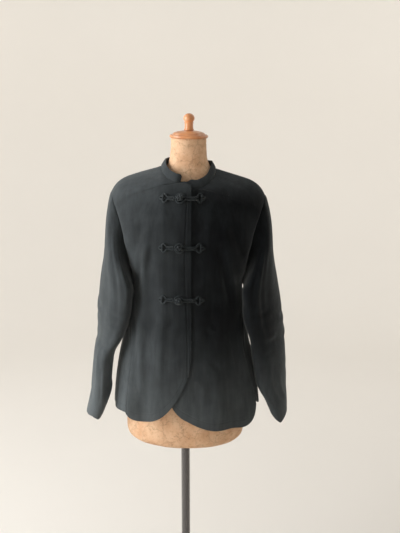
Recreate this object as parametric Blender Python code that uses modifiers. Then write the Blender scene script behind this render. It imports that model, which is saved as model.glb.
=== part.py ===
"""Tang jacket of soft black velvet on a limbless dress form with a weighted stand.

Metres, +Z up. The front faces -Y and the wearer's right is at -X. The origin is the centre
of the stand's underside. The form and the jacket lean slightly to +X, about the pole's top.
"""
import math
from collections import namedtuple

import bmesh
import bpy
from mathutils import Matrix, Vector
from mathutils.geometry import interpolate_bezier

# stand and form
BASE_RADIUS = 0.205
BASE_EDGE = 0.012           # height of the base's rim
HUB_RADIUS = 0.024
HUB_HEIGHT = 0.046
POLE_RADIUS = 0.0125
FORM_BOTTOM = 0.672
NECK_TOP = 1.5157
CAP_BOTTOM = 1.5160
CAP_RADIUS = 0.051
CAP_HEIGHT = 0.020
KNOB_RADIUS = 0.0148
KNOB_HEIGHT = 0.0437
FIT = 0.0003                # between solids that touch
LEAN = math.radians(0.85)

# cloth
CLOTH = 0.0020              # velvet with its backing
LAP = 0.0034                # the right front lies this far outside the left one
SEAM_STEP = 0.0030          # sleeve and collar start this far from the panel's edge line
SEAM_ANGLE = 0.5            # degrees that each panel stops short of the side seam
SEAM_ROW = 0.06             # rows that each panel stops short of the shoulder seam
EDGE_TOP_X = 0.009          # right front's free edge at the neck
EDGE_SLOPE = 0.013          # and its drift towards +X for each metre down
UNDERLAP = 0.048            # left front's hidden edge, beyond the centre
HEM_SIDE = 0.7790
HEM_BACK = 0.7740
VENT_TOP = 0.96             # the side seam opens below this height
LEFT_DROP = ((0, 0.019), (9, 0.015), (13, 0.003))   # row, fall of the wearer's left side

FROG_HEIGHTS = {"top": 1.368, "middle": 1.247, "low": 1.110}
KNOT_X = -0.019
KNOT_RADIUS = 0.0095
CORD_RADIUS = 0.0024

# What differs between the two sides: girth of the front and of half the back, the front's hem
# at its free edge and at the vent, its two rounded corners (width, height), how far its vent
# edge stands out, how many degrees the back passes under it, and the back's rounded corner.
# The left hem is given before that side's drop.
Side = namedtuple("Side", "front_girth back_girth hem vent_hem corner vent_corner lift under "
                          "back_corner")
RIGHT_SIDE = Side(0.205, 0.34, 0.7700, 0.7640, (0.125, 0.200), (0.018, 0.016), 0.024, 9.0,
                  (0.030, 0.030))
LEFT_SIDE = Side(0.270, 0.27, 0.7640, 0.7500, (0.100, 0.125), (0.075, 0.085), 0.003, 0.0,
                 (0.080, 0.100))

# Level rings of the jacket's body, hem to underarm. The seams are the side seams' angles from
# the centre front. The right one swings forward to its open vent, and the left one less.
Ring = namedtuple("Ring", "height width front back right_seam left_seam")
BODY_RINGS = (
    Ring(0.735, 0.2090, 0.1400, 0.1220, 42.0, 80.0),
    Ring(0.830, 0.2020, 0.1390, 0.1190, 45.0, 71.0),
    Ring(0.920, 0.1880, 0.1360, 0.1140, 50.0, 62.0),
    Ring(1.000, 0.1690, 0.1330, 0.1090, 57.0, 59.0),
    Ring(1.075, 0.1550, 0.1310, 0.1060, 70.0, 70.0),
    Ring(1.150, 0.1500, 0.1300, 0.1060, 90.0, 90.0),
)
BODY_POWER = 2.3

# Above the underarm a row runs from the centre or neckline ("in") to the armhole ("out").
# "power" 2 is an ellipse and 1 a straight line; "droop" bends the row over the shoulder's end.
Yoke = namedtuple("Yoke", "in_x in_y in_z out_x out_y out_z power droop")
FRONT_YOKE = (
    Yoke(0.0000, -0.131, 1.210, 0.155, -0.030, 1.185, 2.3, 0.0),
    Yoke(0.0000, -0.127, 1.272, 0.163, -0.048, 1.235, 2.2, 0.0),
    Yoke(0.0000, -0.113, 1.338, 0.174, -0.050, 1.285, 2.0, 0.1),
    Yoke(0.0000, -0.084, 1.402, 0.187, -0.040, 1.327, 1.8, 0.3),
    Yoke(0.0300, -0.080, 1.405, 0.193, -0.036, 1.342, 1.6, 0.5),
    Yoke(0.0550, -0.063, 1.414, 0.198, -0.029, 1.355, 1.4, 0.7),
    Yoke(0.0690, -0.034, 1.427, 0.202, -0.018, 1.365, 1.2, 0.9),
    Yoke(0.0735, 0.0000, 1.440, 0.205, 0.0000, 1.372, 1.0, 1.0),
)
BACK_YOKE = (
    Yoke(0.0000, 0.110, 1.215, 0.156, 0.040, 1.185, 2.3, 0.0),
    Yoke(0.0000, 0.110, 1.285, 0.165, 0.058, 1.240, 2.2, 0.0),
    Yoke(0.0000, 0.100, 1.350, 0.178, 0.054, 1.295, 2.0, 0.2),
    Yoke(0.0000, 0.083, 1.400, 0.189, 0.043, 1.334, 1.8, 0.4),
    Yoke(0.0000, 0.061, 1.432, 0.196, 0.032, 1.354, 1.6, 0.6),
    Yoke(0.0400, 0.054, 1.434, 0.200, 0.024, 1.363, 1.4, 0.8),
    Yoke(0.0630, 0.032, 1.437, 0.203, 0.014, 1.369, 1.2, 0.9),
    Yoke(0.0735, 0.000, 1.440, 0.205, 0.000, 1.372, 1.0, 1.0),
)
UNDERARM_ROW = len(BODY_RINGS) - 1
NECK_ROW = 9                # the front neckline leaves the centre here
NAPE_ROW = 10               # and the back one here
TOP_ROW = len(BODY_RINGS) + len(FRONT_YOKE) - 1

# Soft flutes that run up from the hem: angle from the centre front, width in degrees,
# depth at the hem, and the height where each has faded.
Flute = namedtuple("Flute", "angle width depth top")
FLUTES = (
    Flute(-24.0, 9.0, 0.0045, 1.02),
    Flute(22.0, 8.0, 0.0050, 1.06),
    Flute(37.0, 7.0, -0.0040, 0.98),
    Flute(-82.0, 11.0, -0.0070, 1.05),
    Flute(84.0, 12.0, 0.0020, 1.02),
    Flute(108.0, 9.0, 0.0050, 1.00),
    Flute(-118.0, 10.0, 0.0060, 1.08),
    Flute(148.0, 10.0, 0.0070, 1.10),
    Flute(-160.0, 9.0, 0.0065, 1.06),
)

# Level rings of the sleeves below the underarm. "turn" swings the ring's front end inward.
Cuff = namedtuple("Cuff", "height out_x y long thick turn")
RIGHT_SLEEVE = (
    Cuff(1.100, 0.1925, -0.041, 0.079, 0.0325, 30.0),
    Cuff(1.040, 0.1990, -0.036, 0.076, 0.0320, 30.0),
    Cuff(0.985, 0.2105, -0.026, 0.073, 0.0290, 22.0),
    Cuff(0.930, 0.2275, -0.022, 0.069, 0.0275, 9.0),
    Cuff(0.850, 0.2355, -0.022, 0.065, 0.0270, 6.0),
    Cuff(0.800, 0.2390, -0.024, 0.061, 0.0290, 6.0),
    Cuff(0.752, 0.2520, -0.026, 0.057, 0.0265, 6.0),
)
LEFT_SLEEVE = (
    Cuff(1.100, 0.2020, -0.035, 0.084, 0.0355, 31.0),
    Cuff(1.040, 0.2090, -0.030, 0.082, 0.0380, 34.0),
    Cuff(0.985, 0.2227, -0.024, 0.078, 0.0332, 32.0),
    Cuff(0.930, 0.2290, -0.022, 0.074, 0.0360, 30.0),
    Cuff(0.850, 0.2395, -0.020, 0.067, 0.0335, 28.0),
    Cuff(0.795, 0.2515, -0.022, 0.061, 0.0310, 13.0),
    Cuff(0.748, 0.2610, -0.024, 0.056, 0.0245, 6.0),
)
# Each cuff's hem slants up from its lowest point: (rise, turn of the lowest point).
RIGHT_SLANT = (0.030, 40.0)
LEFT_SLANT = (0.026, 60.0)
SLANT_TOP = 0.88
# How far a sleeve's head leans out where it leaves the armhole.
RIGHT_SPREAD = 0.12
LEFT_SPREAD = 0.22
# Crumples across a sleeve: height, reach up and down, depth, angle where it is deepest.
Crumple = namedtuple("Crumple", "height reach depth angle")
CRUMPLES = (
    Crumple(1.090, 0.018, 0.0040, 60.0),
    Crumple(1.030, 0.015, 0.0050, 110.0),
    Crumple(0.975, 0.014, 0.0045, 40.0),
    Crumple(0.905, 0.016, 0.0040, 80.0),
    Crumple(0.820, 0.014, 0.0030, 20.0),
)

# Collar band above the neckline, from the front round to the back
Stand = namedtuple("Stand", "inward rise")
COLLAR_STAND = (Stand(0.0110, 0.0215), Stand(0.0120, 0.0205), Stand(0.0080, 0.0330))
COLLAR_END = 0.018          # its right end stands back from the centre
COLLAR_UNDER = 0.027        # its left end passes under the right one

# The dress form: level rings whose sides may stand higher than the middle
Torso = namedtuple("Torso", "mid_z side_z width front back")
FORM_RINGS = (
    Torso(0.672, 0.672, 0.1380, 0.0880, 0.0820),
    Torso(0.677, 0.677, 0.1520, 0.1010, 0.0940),
    Torso(0.692, 0.692, 0.1630, 0.1110, 0.1030),
    Torso(0.725, 0.725, 0.1665, 0.1150, 0.1070),
    Torso(0.800, 0.800, 0.1620, 0.1130, 0.1060),
    Torso(0.900, 0.900, 0.1410, 0.0980, 0.0920),
    Torso(0.990, 0.990, 0.1200, 0.0860, 0.0790),
    Torso(1.050, 1.050, 0.1150, 0.0860, 0.0760),
    Torso(1.120, 1.120, 0.1230, 0.0970, 0.0820),
    Torso(1.190, 1.190, 0.1350, 0.1140, 0.0900),
    Torso(1.250, 1.255, 0.1440, 0.1170, 0.0940),
    Torso(1.310, 1.320, 0.1500, 0.1020, 0.0900),
    Torso(1.350, 1.370, 0.1520, 0.0850, 0.0790),
    Torso(1.378, 1.398, 0.1340, 0.0690, 0.0660),
    Torso(1.399, 1.417, 0.1020, 0.0570, 0.0560),
    Torso(1.416, 1.426, 0.0770, 0.0510, 0.0500),
    Torso(1.436, 1.439, 0.0610, 0.0490, 0.0465),
    Torso(1.462, 1.462, 0.0505, 0.0475, 0.0450),
    Torso(1.488, 1.488, 0.0468, 0.0465, 0.0445),
    Torso(NECK_TOP, NECK_TOP, 0.0465, 0.0465, 0.0445),
)

Finish = namedtuple("Finish", "colour roughness metallic")
FINISHES = {
    "velvet": Finish((0.018, 0.020, 0.022), 0.90, 0.0),
    "form_linen": Finish((0.62, 0.40, 0.26), 0.85, 0.0),
    "cap_wood": Finish((0.50, 0.19, 0.05), 0.35, 0.0),
    "pole_steel": Finish((0.03, 0.03, 0.032), 0.25, 1.0),
    "base_iron": Finish((0.02, 0.02, 0.021), 0.45, 0.6),
}


# ---- scene and object helpers

def clear_scene():
    for item in list(bpy.data.objects):
        bpy.data.objects.remove(item, do_unlink=True)


def make_material(name):
    finish = FINISHES[name]
    material = bpy.data.materials.new(name)
    material.use_nodes = True
    shader = material.node_tree.nodes["Principled BSDF"]
    shader.inputs["Base Color"].default_value = (*finish.colour, 1.0)
    shader.inputs["Roughness"].default_value = finish.roughness
    shader.inputs["Metallic"].default_value = finish.metallic
    material.diffuse_color = (*finish.colour, 1.0)
    return material


def add_object(name, data, material, collection, parent=None):
    item = bpy.data.objects.new(name, data)
    collection.objects.link(item)
    item.data.materials.append(material)
    item.parent = parent
    return item


def smooth_step(low, high, value):
    f = min(max((value - low) / (high - low), 0.0), 1.0)
    return f * f * (3.0 - 2.0 * f)


def blend(a, b, f):
    return a + (b - a) * f


def smooth_row(rows, place):
    """Every column of a table at a fractional row, on a Catmull-Rom curve through its rows."""
    last = len(rows) - 1
    place = min(max(place, 0.0), last)
    i = min(int(place), last - 1)
    f = place - i
    before, start, end, after = (rows[min(max(k, 0), last)] for k in (i - 1, i, i + 1, i + 2))
    return [
        0.5 * (2 * q + (s - p) * f + (2 * p - 5 * q + 4 * s - t) * f ** 2
               + (3 * q - p - 3 * s + t) * f ** 3)
        for p, q, s, t in zip(before, start, end, after)
    ]


def table_value(pairs, place):
    """Straight interpolation in a short table of (place, value) pairs."""
    for (p0, v0), (p1, v1) in zip(pairs, pairs[1:]):
        if place <= p1:
            return blend(v0, v1, max(place - p0, 0.0) / (p1 - p0))
    return pairs[-1][1]


# ---- turned pieces, form

def turned(name, profile, material, collection, steps, parent=None, height=0.0):
    """A closed profile in the X-Z plane, given up its outer side, turned about Z."""
    mesh = bpy.data.meshes.new(name)
    points = [(radius, 0.0, z) for radius, z in reversed(profile)]
    mesh.from_pydata(points, [(i, i + 1) for i in range(len(points) - 1)], [])
    item = add_object(name, mesh, material, collection, parent)
    item.location.z = height
    screw = item.modifiers.new("turn", "SCREW")
    screw.steps = steps
    screw.render_steps = steps
    screw.use_merge_vertices = True
    screw.merge_threshold = 0.00005
    screw.use_smooth_shade = True
    return item


def arc(centre_x, centre_z, radius_x, radius_z, start, end, count):
    """Points on an elliptical arc between two angles in degrees."""
    angles = [math.radians(blend(start, end, i / (count - 1))) for i in range(count)]
    return [(centre_x + radius_x * math.cos(a), centre_z + radius_z * math.sin(a)) for a in angles]


def base_profile():
    rim = arc(BASE_RADIUS - 0.006, 0.006, 0.006, 0.006, -90, 60, 6)
    shoulder = [(BASE_RADIUS - 0.012, BASE_EDGE), (0.110, 0.019), (0.050, 0.0245)]
    hub = [(HUB_RADIUS + 0.004, 0.028), (HUB_RADIUS, 0.032)]
    hub += arc(HUB_RADIUS - 0.003, HUB_HEIGHT - 0.003, 0.003, 0.003, 0, 90, 4)
    return [(0.0, 0.0)] + rim + shoulder + hub + [(0.0, HUB_HEIGHT)]


def cap_profile():
    edge = arc(CAP_RADIUS - 0.004, 0.0045, 0.004, 0.0045, -90, 60, 5)
    step = [(CAP_RADIUS - 0.006, 0.0095), (CAP_RADIUS - 0.0075, 0.0100)]
    dome = arc(0.0, 0.0098, CAP_RADIUS - 0.0085, CAP_HEIGHT - 0.0098, 5, 80, 5)
    return [(0.0, 0.0)] + edge + step + dome + [(0.0, CAP_HEIGHT)]


def knob_profile():
    stem = [(0.0, 0.0), (0.0125, 0.0), (0.0118, 0.004), (0.0110, 0.012), (0.0116, 0.019)]
    head_z = KNOB_HEIGHT - 0.013
    return stem + arc(0.0, head_z, KNOB_RADIUS, 0.013, -35, 80, 7) + [(0.0, KNOB_HEIGHT)]


def build_stand(collection, iron, steel):
    turned("stand_base", base_profile(), iron, collection, 36)
    bottom = HUB_HEIGHT + FIT
    length = FORM_BOTTOM - 2 * FIT - bottom
    bevel = 0.0015
    profile = [(0.0, 0.0), (POLE_RADIUS - bevel, 0.0), (POLE_RADIUS, bevel),
               (POLE_RADIUS, length - bevel), (POLE_RADIUS - bevel, length), (0.0, length)]
    turned("pole", profile, steel, collection, 20, height=bottom)


def loft(name, rings, material, collection, parent, closed_ends=True):
    """A skin over rings of equal count, with flat ends."""
    mesh = bmesh.new()
    levels = [[mesh.verts.new(point) for point in ring] for ring in rings]
    count = len(rings[0])
    for low, high in zip(levels, levels[1:]):
        for k in range(count):
            n = (k + 1) % count
            mesh.faces.new((low[k], low[n], high[n], high[k]))
    if closed_ends:
        mesh.faces.new(list(reversed(levels[0])))
        mesh.faces.new(levels[-1])
    data = bpy.data.meshes.new(name)
    mesh.to_mesh(data)
    mesh.free()
    data.shade_smooth()
    return add_object(name, data, material, collection, parent)


def oval_side(width, depth, angle, power):
    """Point of an oval at an angle from the -Y direction towards +X; depth is (front, back)."""
    s, c = math.sin(angle), math.cos(angle)
    x = math.copysign(width * abs(s) ** (2 / power), s)
    y = depth[0] if c > 0 else depth[1]
    return x, -math.copysign(y * abs(c) ** (2 / power), c)


def build_form(collection, linen, wood, parent):
    count = 32
    rings = []
    for ring in FORM_RINGS:
        points = []
        for k in range(count):
            angle = 2 * math.pi * k / count
            x, y = oval_side(ring.width, (ring.front, ring.back), angle, 2.1)
            points.append((x, y, blend(ring.mid_z, ring.side_z, math.sin(angle) ** 2)))
        rings.append(points)
    loft("form_body", rings, linen, collection, parent)
    turned("neck_cap", cap_profile(), wood, collection, 30, parent, CAP_BOTTOM)
    turned("cap_knob", knob_profile(), wood, collection, 18, parent, CAP_BOTTOM + CAP_HEIGHT + FIT)


# ---- the jacket's surface

def body_rows(yoke, facing):
    lower = []
    for ring in BODY_RINGS:
        depth = -ring.front if facing == "front" else ring.back
        lower.append((0.0, depth, ring.height, ring.width, 0.0, ring.height, BODY_POWER, 0.0))
    return lower + [tuple(row) for row in yoke]


FRONT_ROWS = body_rows(FRONT_YOKE, "front")
BACK_ROWS = body_rows(BACK_YOKE, "back")
SHOULDER_BEND = 0.44        # share of the shoulder's fall that comes at its very end


def plain_point(row, angle):
    """The body's smooth surface at a row and an angle from the centre front, + to the left."""
    turn = math.radians(abs(angle))
    rows = FRONT_ROWS
    if abs(angle) > 90:
        rows = BACK_ROWS
        turn = math.pi - turn
    in_x, in_y, in_z, out_x, out_y, out_z, power, droop = smooth_row(rows, row)
    s, c = max(math.sin(turn), 0.0), max(math.cos(turn), 0.0)
    across = s ** (2 / power)
    fall = s * s
    fall = fall * (1 - SHOULDER_BEND * droop) + SHOULDER_BEND * droop * fall ** 8
    x = blend(max(in_x, 0.0), out_x, across)
    y = blend(out_y, in_y, c ** (2 / power))
    return Vector((math.copysign(x, angle), y, blend(in_z, out_z, fall)))


def outward(row, angle):
    """Unit normal of the smooth surface."""
    low, high = plain_point(row - 0.05, angle), plain_point(row + 0.05, angle)
    left, right = plain_point(row, angle - 0.5), plain_point(row, angle + 0.5)
    return (right - left).cross(high - low).normalized()


def flute_depth(angle, height):
    depth = 0.0
    for flute in FLUTES:
        gap = (angle - flute.angle + 180) % 360 - 180
        fade = smooth_step(flute.top, 0.78, height)
        depth += flute.depth * fade * math.exp(-(gap / flute.width) ** 2)
    return depth


def left_share(piece, point):
    """How much of the left side's drop a point takes: 0 on the wearer's right, 1 on the left."""
    if piece == "front_right":
        return 0.0
    if piece == "front_left":
        return 1.0
    reach = blend(0.072, 0.140, smooth_step(1.40, 1.10, point.z))
    return smooth_step(-reach, reach, point.x)


def jacket_point(piece, row, angle, lift=0.0):
    """A point on the middle of the cloth of a body panel, lifted outward by lift."""
    spot = plain_point(row, angle)
    lift += flute_depth(angle, spot.z)
    if piece == "front_right":
        lift += LAP * smooth_step(-0.095, -0.058, spot.x)
    spot = spot + outward(row, angle) * lift
    spot.z -= table_value(LEFT_DROP, row) * left_share(piece, spot)
    return spot


def angle_for_x(row, x):
    """The angle where a row below the neckline passes a given X."""
    _, _, _, out_x, _, _, power, _ = smooth_row(FRONT_ROWS, row)
    share = min(abs(x) / out_x, 1.0)
    return math.copysign(math.degrees(math.asin(share ** (power / 2))), x)


def seam_angle(row, side):
    """A side seam's angle from the centre front at a row; side is -1 right, 1 left."""
    seams = [(ring.right_seam if side < 0 else ring.left_seam,) for ring in BODY_RINGS]
    return smooth_row(seams, min(row, UNDERARM_ROW))[0]


def row_for_height(height, rows=FRONT_ROWS):
    """The row below the underarm whose ring lies at a height."""
    low, high = 0.0, float(UNDERARM_ROW)
    for _ in range(40):
        middle = (low + high) / 2
        if smooth_row(rows, middle)[2] < height:
            low = middle
        else:
            high = middle
    return (low + high) / 2


def corner_rise(gap, width, height):
    """Rise of a rounded hem corner at a distance from the free edge."""
    if gap >= width:
        return 0.0
    return height * (1 - math.sqrt(max(1 - (1 - gap / width) ** 2, 0.0)))


# ---- cloth sheets

def sheet_object(name, grids, material, collection, parent, wrap=False):
    """Grids of points, columns by levels, joined where they meet and given the cloth's wall."""
    mesh = bmesh.new()
    for grid in grids:
        columns = [[mesh.verts.new(point) for point in column] for column in grid]
        if wrap:
            columns.append(columns[0])
        for near, far in zip(columns, columns[1:]):
            for k in range(len(near) - 1):
                mesh.faces.new((near[k], far[k], far[k + 1], near[k + 1]))
    bmesh.ops.remove_doubles(mesh, verts=mesh.verts, dist=0.00001)
    bmesh.ops.recalc_face_normals(mesh, faces=mesh.faces)
    data = bpy.data.meshes.new(name)
    mesh.to_mesh(data)
    mesh.free()
    data.shade_smooth()
    item = add_object(name, data, material, collection, parent)
    wall = item.modifiers.new("wall", "SOLIDIFY")
    wall.thickness = CLOTH
    wall.offset = 0.0
    return item


def front_grid(piece):
    """Columns from the free edge to the side seam, levels from the hem to the shoulder seam."""
    side = -1 if piece == "front_right" else 1
    shape = RIGHT_SIDE if side < 0 else LEFT_SIDE

    def edge_x(height):
        if side > 0:
            return -UNDERLAP
        return EDGE_TOP_X + EDGE_SLOPE * (1.40 - height)

    shares = [0.0, 0.012, 0.045, 0.10, 0.175, 0.27, 0.38, 0.50, 0.62, 0.74, 0.83, 0.90, 0.955,
              1.0]
    grid = []
    for share in shares:
        rise = corner_rise(share * shape.front_girth, *shape.corner)
        rise += corner_rise((1 - share) * shape.front_girth, *shape.vent_corner)
        hem = blend(shape.hem, shape.vent_hem, smooth_step(0.45, 1.0, share))
        hem_row = row_for_height(hem + rise)
        levels = [blend(hem_row, NECK_ROW, k / 14) for k in range(15)]
        levels += [blend(NECK_ROW, TOP_ROW - SEAM_ROW, k / 5) for k in range(1, 6)]
        column = []
        for row in levels:
            start = 0.0
            if row <= NECK_ROW:
                start = side * angle_for_x(row, edge_x(smooth_row(FRONT_ROWS, row)[2]))
            angle = side * blend(start, seam_angle(row, side) - SEAM_ANGLE, share)
            column.append(jacket_point(piece, row, angle, side_lift(row, share, shape.lift)))
        grid.append(column)
    return grid


def side_lift(row, share, most):
    """The front's vent edge stands away from the back panel below the side seam."""
    height = smooth_row(FRONT_ROWS, row)[2]
    return most * smooth_step(VENT_TOP, 0.79, height) * smooth_step(0.60, 1.0, share)


def back_grids():
    """Two halves of one panel that meet at the centre back, from there to each side seam."""
    shares = [0.0, 0.10, 0.21, 0.33, 0.45, 0.57, 0.68, 0.78, 0.87, 0.94, 1.0]
    grids = []
    for side, shape in ((-1, RIGHT_SIDE), (1, LEFT_SIDE)):
        grid = []
        for share in shares:
            rise = corner_rise((1 - share) * shape.back_girth, *shape.back_corner)
            hem_row = row_for_height(blend(HEM_BACK, HEM_SIDE, share) + rise)
            levels = [blend(hem_row, NAPE_ROW, k / 15) for k in range(16)]
            levels += [NAPE_ROW + 1, NAPE_ROW + 2, TOP_ROW - SEAM_ROW]
            column = []
            for row in levels:
                height = smooth_row(BACK_ROWS, row)[2]
                under = shape.under * smooth_step(0.90, 0.82, height)
                angle = blend(180.0, seam_angle(row, side) + SEAM_ANGLE - under, share)
                column.append(jacket_point("back", row, side * angle))
            grid.append(column)
        grids.append(grid)
    return grids


def armhole_loop(side, count):
    """Evenly spaced points round an armhole: shoulder, front, underarm, back."""
    piece = "front_right" if side < 0 else "front_left"
    steps = 40
    path = []
    for k in range(steps):
        row = blend(TOP_ROW, UNDERARM_ROW, k / steps)
        path.append(jacket_point(piece, row, side * 89.999))
    for k in range(steps):
        row = blend(UNDERARM_ROW, TOP_ROW, k / steps)
        path.append(jacket_point("back", row, side * 90.001))
    path.append(path[0])
    lengths = [0.0]
    for a, b in zip(path, path[1:]):
        lengths.append(lengths[-1] + (b - a).length)
    loop = []
    for k in range(count):
        want = lengths[-1] * k / count
        i = max(j for j, length in enumerate(lengths) if length <= want)
        loop.append(path[i].lerp(path[i + 1], (want - lengths[i]) / (lengths[i + 1] - lengths[i])))
    return loop


def cuff_point(rows, place, side, turn):
    """A sleeve ring's point; turn 0 is the outer side, 90 the front end."""
    height, out_x, y, long, thick, swing = smooth_row(rows, place)
    swing = math.radians(swing)
    for crumple in CRUMPLES:
        near = math.exp(-((height - crumple.height) / crumple.reach) ** 2)
        thick -= crumple.depth * near * math.cos(turn - math.radians(crumple.angle))
    front = Vector((-side * math.sin(swing), -math.cos(swing), 0.0))
    outer = Vector((side * math.cos(swing), -math.sin(swing), 0.0))
    slant, lowest = RIGHT_SLANT if side < 0 else LEFT_SLANT
    rise = slant * smooth_step(SLANT_TOP, rows[-1].height, height)
    rise *= (1 - math.cos(turn - math.radians(lowest))) / 2
    centre = Vector((side * out_x, y, height + rise))
    return centre + front * long * math.sin(turn) + outer * thick * math.cos(turn)


def sleeve_grid(side):
    rows = RIGHT_SLEEVE if side < 0 else LEFT_SLEEVE
    base_spread = RIGHT_SPREAD if side < 0 else LEFT_SPREAD
    count = 18
    head_steps, tube_steps = 7, 12
    loop = armhole_loop(side, count)
    grid = []
    for k in range(count):
        turn = 2 * math.pi * k / count
        spread = base_spread + 0.30 * math.sin(turn) ** 2 + 0.10 * math.cos(turn)
        leave = Vector((side * spread, -0.30 * math.sin(turn), -0.90)).normalized()
        start = loop[k] + Vector((side, 0.0, -0.35)).normalized() * SEAM_STEP
        end = cuff_point(rows, 0.0, side, turn)
        reach = (end - start).length
        arrive = (cuff_point(rows, 0.05, side, turn) - end).normalized()
        head = interpolate_bezier(start, start + leave * reach * 0.38, end - arrive * reach * 0.38,
                                  end, head_steps + 1)
        tube = [cuff_point(rows, (len(rows) - 1) * j / tube_steps, side, turn)
                for j in range(1, tube_steps + 1)]
        grid.append(list(head) + tube)
    return grid


def neckline():
    """The body's neckline from the right front's centre round the back to the left's."""
    path = []
    for k in range(17):
        spot = jacket_point("front_right", blend(NECK_ROW, TOP_ROW, k / 16), -0.001)
        if spot.x < -COLLAR_END:
            path.append((spot, k / 32))
    for k in range(1, 13):
        row = blend(TOP_ROW, NAPE_ROW, k / 12)
        path.append((jacket_point("back", row, -179.999), 0.5 + k / 24))
    for k in range(1, 13):
        row = blend(NAPE_ROW, TOP_ROW, k / 12)
        path.append((jacket_point("back", row, 179.999), 1.0 - k / 24))
    for k in range(1, 17):
        row = blend(TOP_ROW, NECK_ROW, k / 16)
        path.append((jacket_point("front_left", row, 0.001), 0.5 - k / 32))
    end = path[-1][0]
    path.append((Vector((-COLLAR_UNDER, end.y + 0.0030, end.z + 0.001)), 0.0))
    return path


def collar_grid():
    """A low stand collar that leans in as it rises."""
    columns = 30
    path = neckline()
    lengths = [0.0]
    for (a, _), (b, _) in zip(path, path[1:]):
        lengths.append(lengths[-1] + (b - a).length)
    grid = []
    for k in range(columns + 1):
        want = min(lengths[-1] * k / columns, lengths[-1] - 1e-6)
        i = max(j for j, length in enumerate(lengths) if length <= want)
        f = (want - lengths[i]) / (lengths[i + 1] - lengths[i])
        foot = path[i][0].lerp(path[i + 1][0], f)
        inward, rise = smooth_row(COLLAR_STAND, 2 * blend(path[i][1], path[i + 1][1], f))
        axis = Vector((-foot.x, -0.012 - foot.y, 0.0)).normalized()
        foot = foot + axis * 0.0012 + Vector((0.0, 0.0, SEAM_STEP * 0.8))
        grid.append([foot + (axis * inward + Vector((0, 0, rise))) * v for v in (0, 0.35, 0.7, 1)])
    return grid


def build_jacket(collection, velvet, parent):
    for piece in ("front_right", "front_left"):
        sheet_object(piece, [front_grid(piece)], velvet, collection, parent)
    sheet_object("back", back_grids(), velvet, collection, parent)
    for name, side in (("sleeve_right", -1), ("sleeve_left", 1)):
        sheet_object(name, [sleeve_grid(side)], velvet, collection, parent, wrap=True)
    sheet_object("collar", [collar_grid()], velvet, collection, parent)


# ---- frog closures

def front_spot(piece, x, height, lift):
    """The point on a front panel at an X and a height, lifted off its outer face."""
    drop = 0.0 if piece == "front_right" else 0.016
    low, high = 2.0, float(NECK_ROW)
    for _ in range(40):
        row = (low + high) / 2
        if plain_point(row, angle_for_x(row, x)).z - drop < height:
            low = row
        else:
            high = row
    angle = angle_for_x(row, x)
    return jacket_point(piece, row, angle, CLOTH / 2 + lift)


def cord_spot(x, height, lift):
    """A cord lies on the right front, and steps down past its edge to the left one."""
    over = front_spot("front_right", x, height, lift)
    if x < EDGE_TOP_X:
        return over
    under = front_spot("front_left", x, height, lift)
    return over.lerp(under, smooth_step(0.016, 0.028, x))


def tail_path():
    """Flat hairpin of cord with two small lobes, (x, height) from the knot."""
    near, far, half = -0.0154, -0.0420, 0.0042
    top = [(blend(near, far + 0.006, k / 3), half) for k in range(4)]
    lobe = arc(far, 0.0, 0.0062, 0.0066, 75, 285, 6)
    return top + lobe + [(x, -z) for x, z in reversed(top)]


def loop_path():
    """Keyhole of cord round the knot, closed by a round end on the left front."""
    ring = arc(0.0, 0.0, 0.0098, 0.0098, 40, 320, 9)
    far = 0.0570
    low = [(blend(0.0120, far - 0.006, k / 4), -0.0040) for k in range(5)]
    end = arc(far, 0.0, 0.0060, 0.0062, -105, 105, 5)
    return ring + low + end + [(x, -z) for x, z in reversed(low)]


def cord_object(name, path, height, material, collection, parent):
    curve = bpy.data.curves.new(name, "CURVE")
    curve.dimensions = "3D"
    curve.bevel_depth = CORD_RADIUS
    curve.bevel_resolution = 2
    curve.render_resolution_u = 0
    spline = curve.splines.new("POLY")
    spline.points.add(len(path) - 1)
    for point, (x, z) in zip(spline.points, path):
        point.co = (*cord_spot(KNOT_X + x, height + z, CORD_RADIUS + FIT * 2), 1.0)
    spline.use_cyclic_u = True
    return add_object(name, curve, material, collection, parent)


def build_frogs(collection, velvet, parent):
    for name, height in FROG_HEIGHTS.items():
        mesh = bmesh.new()
        bmesh.ops.create_uvsphere(mesh, u_segments=12, v_segments=7, radius=KNOT_RADIUS)
        data = bpy.data.meshes.new(f"frog_{name}_knot")
        mesh.to_mesh(data)
        mesh.free()
        data.shade_smooth()
        knot = add_object(f"frog_{name}_knot", data, velvet, collection, parent)
        knot.location = front_spot("front_right", KNOT_X, height, KNOT_RADIUS + FIT * 3)
        cord_object(f"frog_{name}_tail", tail_path(), height, velvet, collection, parent)
        cord_object(f"frog_{name}_loop", loop_path(), height, velvet, collection, parent)


def main():
    clear_scene()
    collection = bpy.data.collections.new("tang_jacket_on_dress_form")
    bpy.context.scene.collection.children.link(collection)
    materials = {name: make_material(name) for name in FINISHES}
    lean = bpy.data.objects.new("lean_about_pole_top", None)
    collection.objects.link(lean)
    pivot = Matrix.Translation((0, 0, FORM_BOTTOM))
    lean.matrix_world = pivot @ Matrix.Rotation(LEAN, 4, "Y") @ pivot.inverted()
    build_stand(collection, materials["base_iron"], materials["pole_steel"])
    build_form(collection, materials["form_linen"], materials["cap_wood"], lean)
    build_jacket(collection, materials["velvet"], lean)
    build_frogs(collection, materials["velvet"], lean)
    bpy.context.view_layer.update()


main()
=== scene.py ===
# Black velvet tang jacket on a linen and paper dress form with a turned cap and a round base.
# Metres, +Z up, front towards -Y, wearer's right at -X.
import functools
import math

import bmesh
import bpy
import numpy as np
from mathutils import Matrix, Vector, noise


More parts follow.
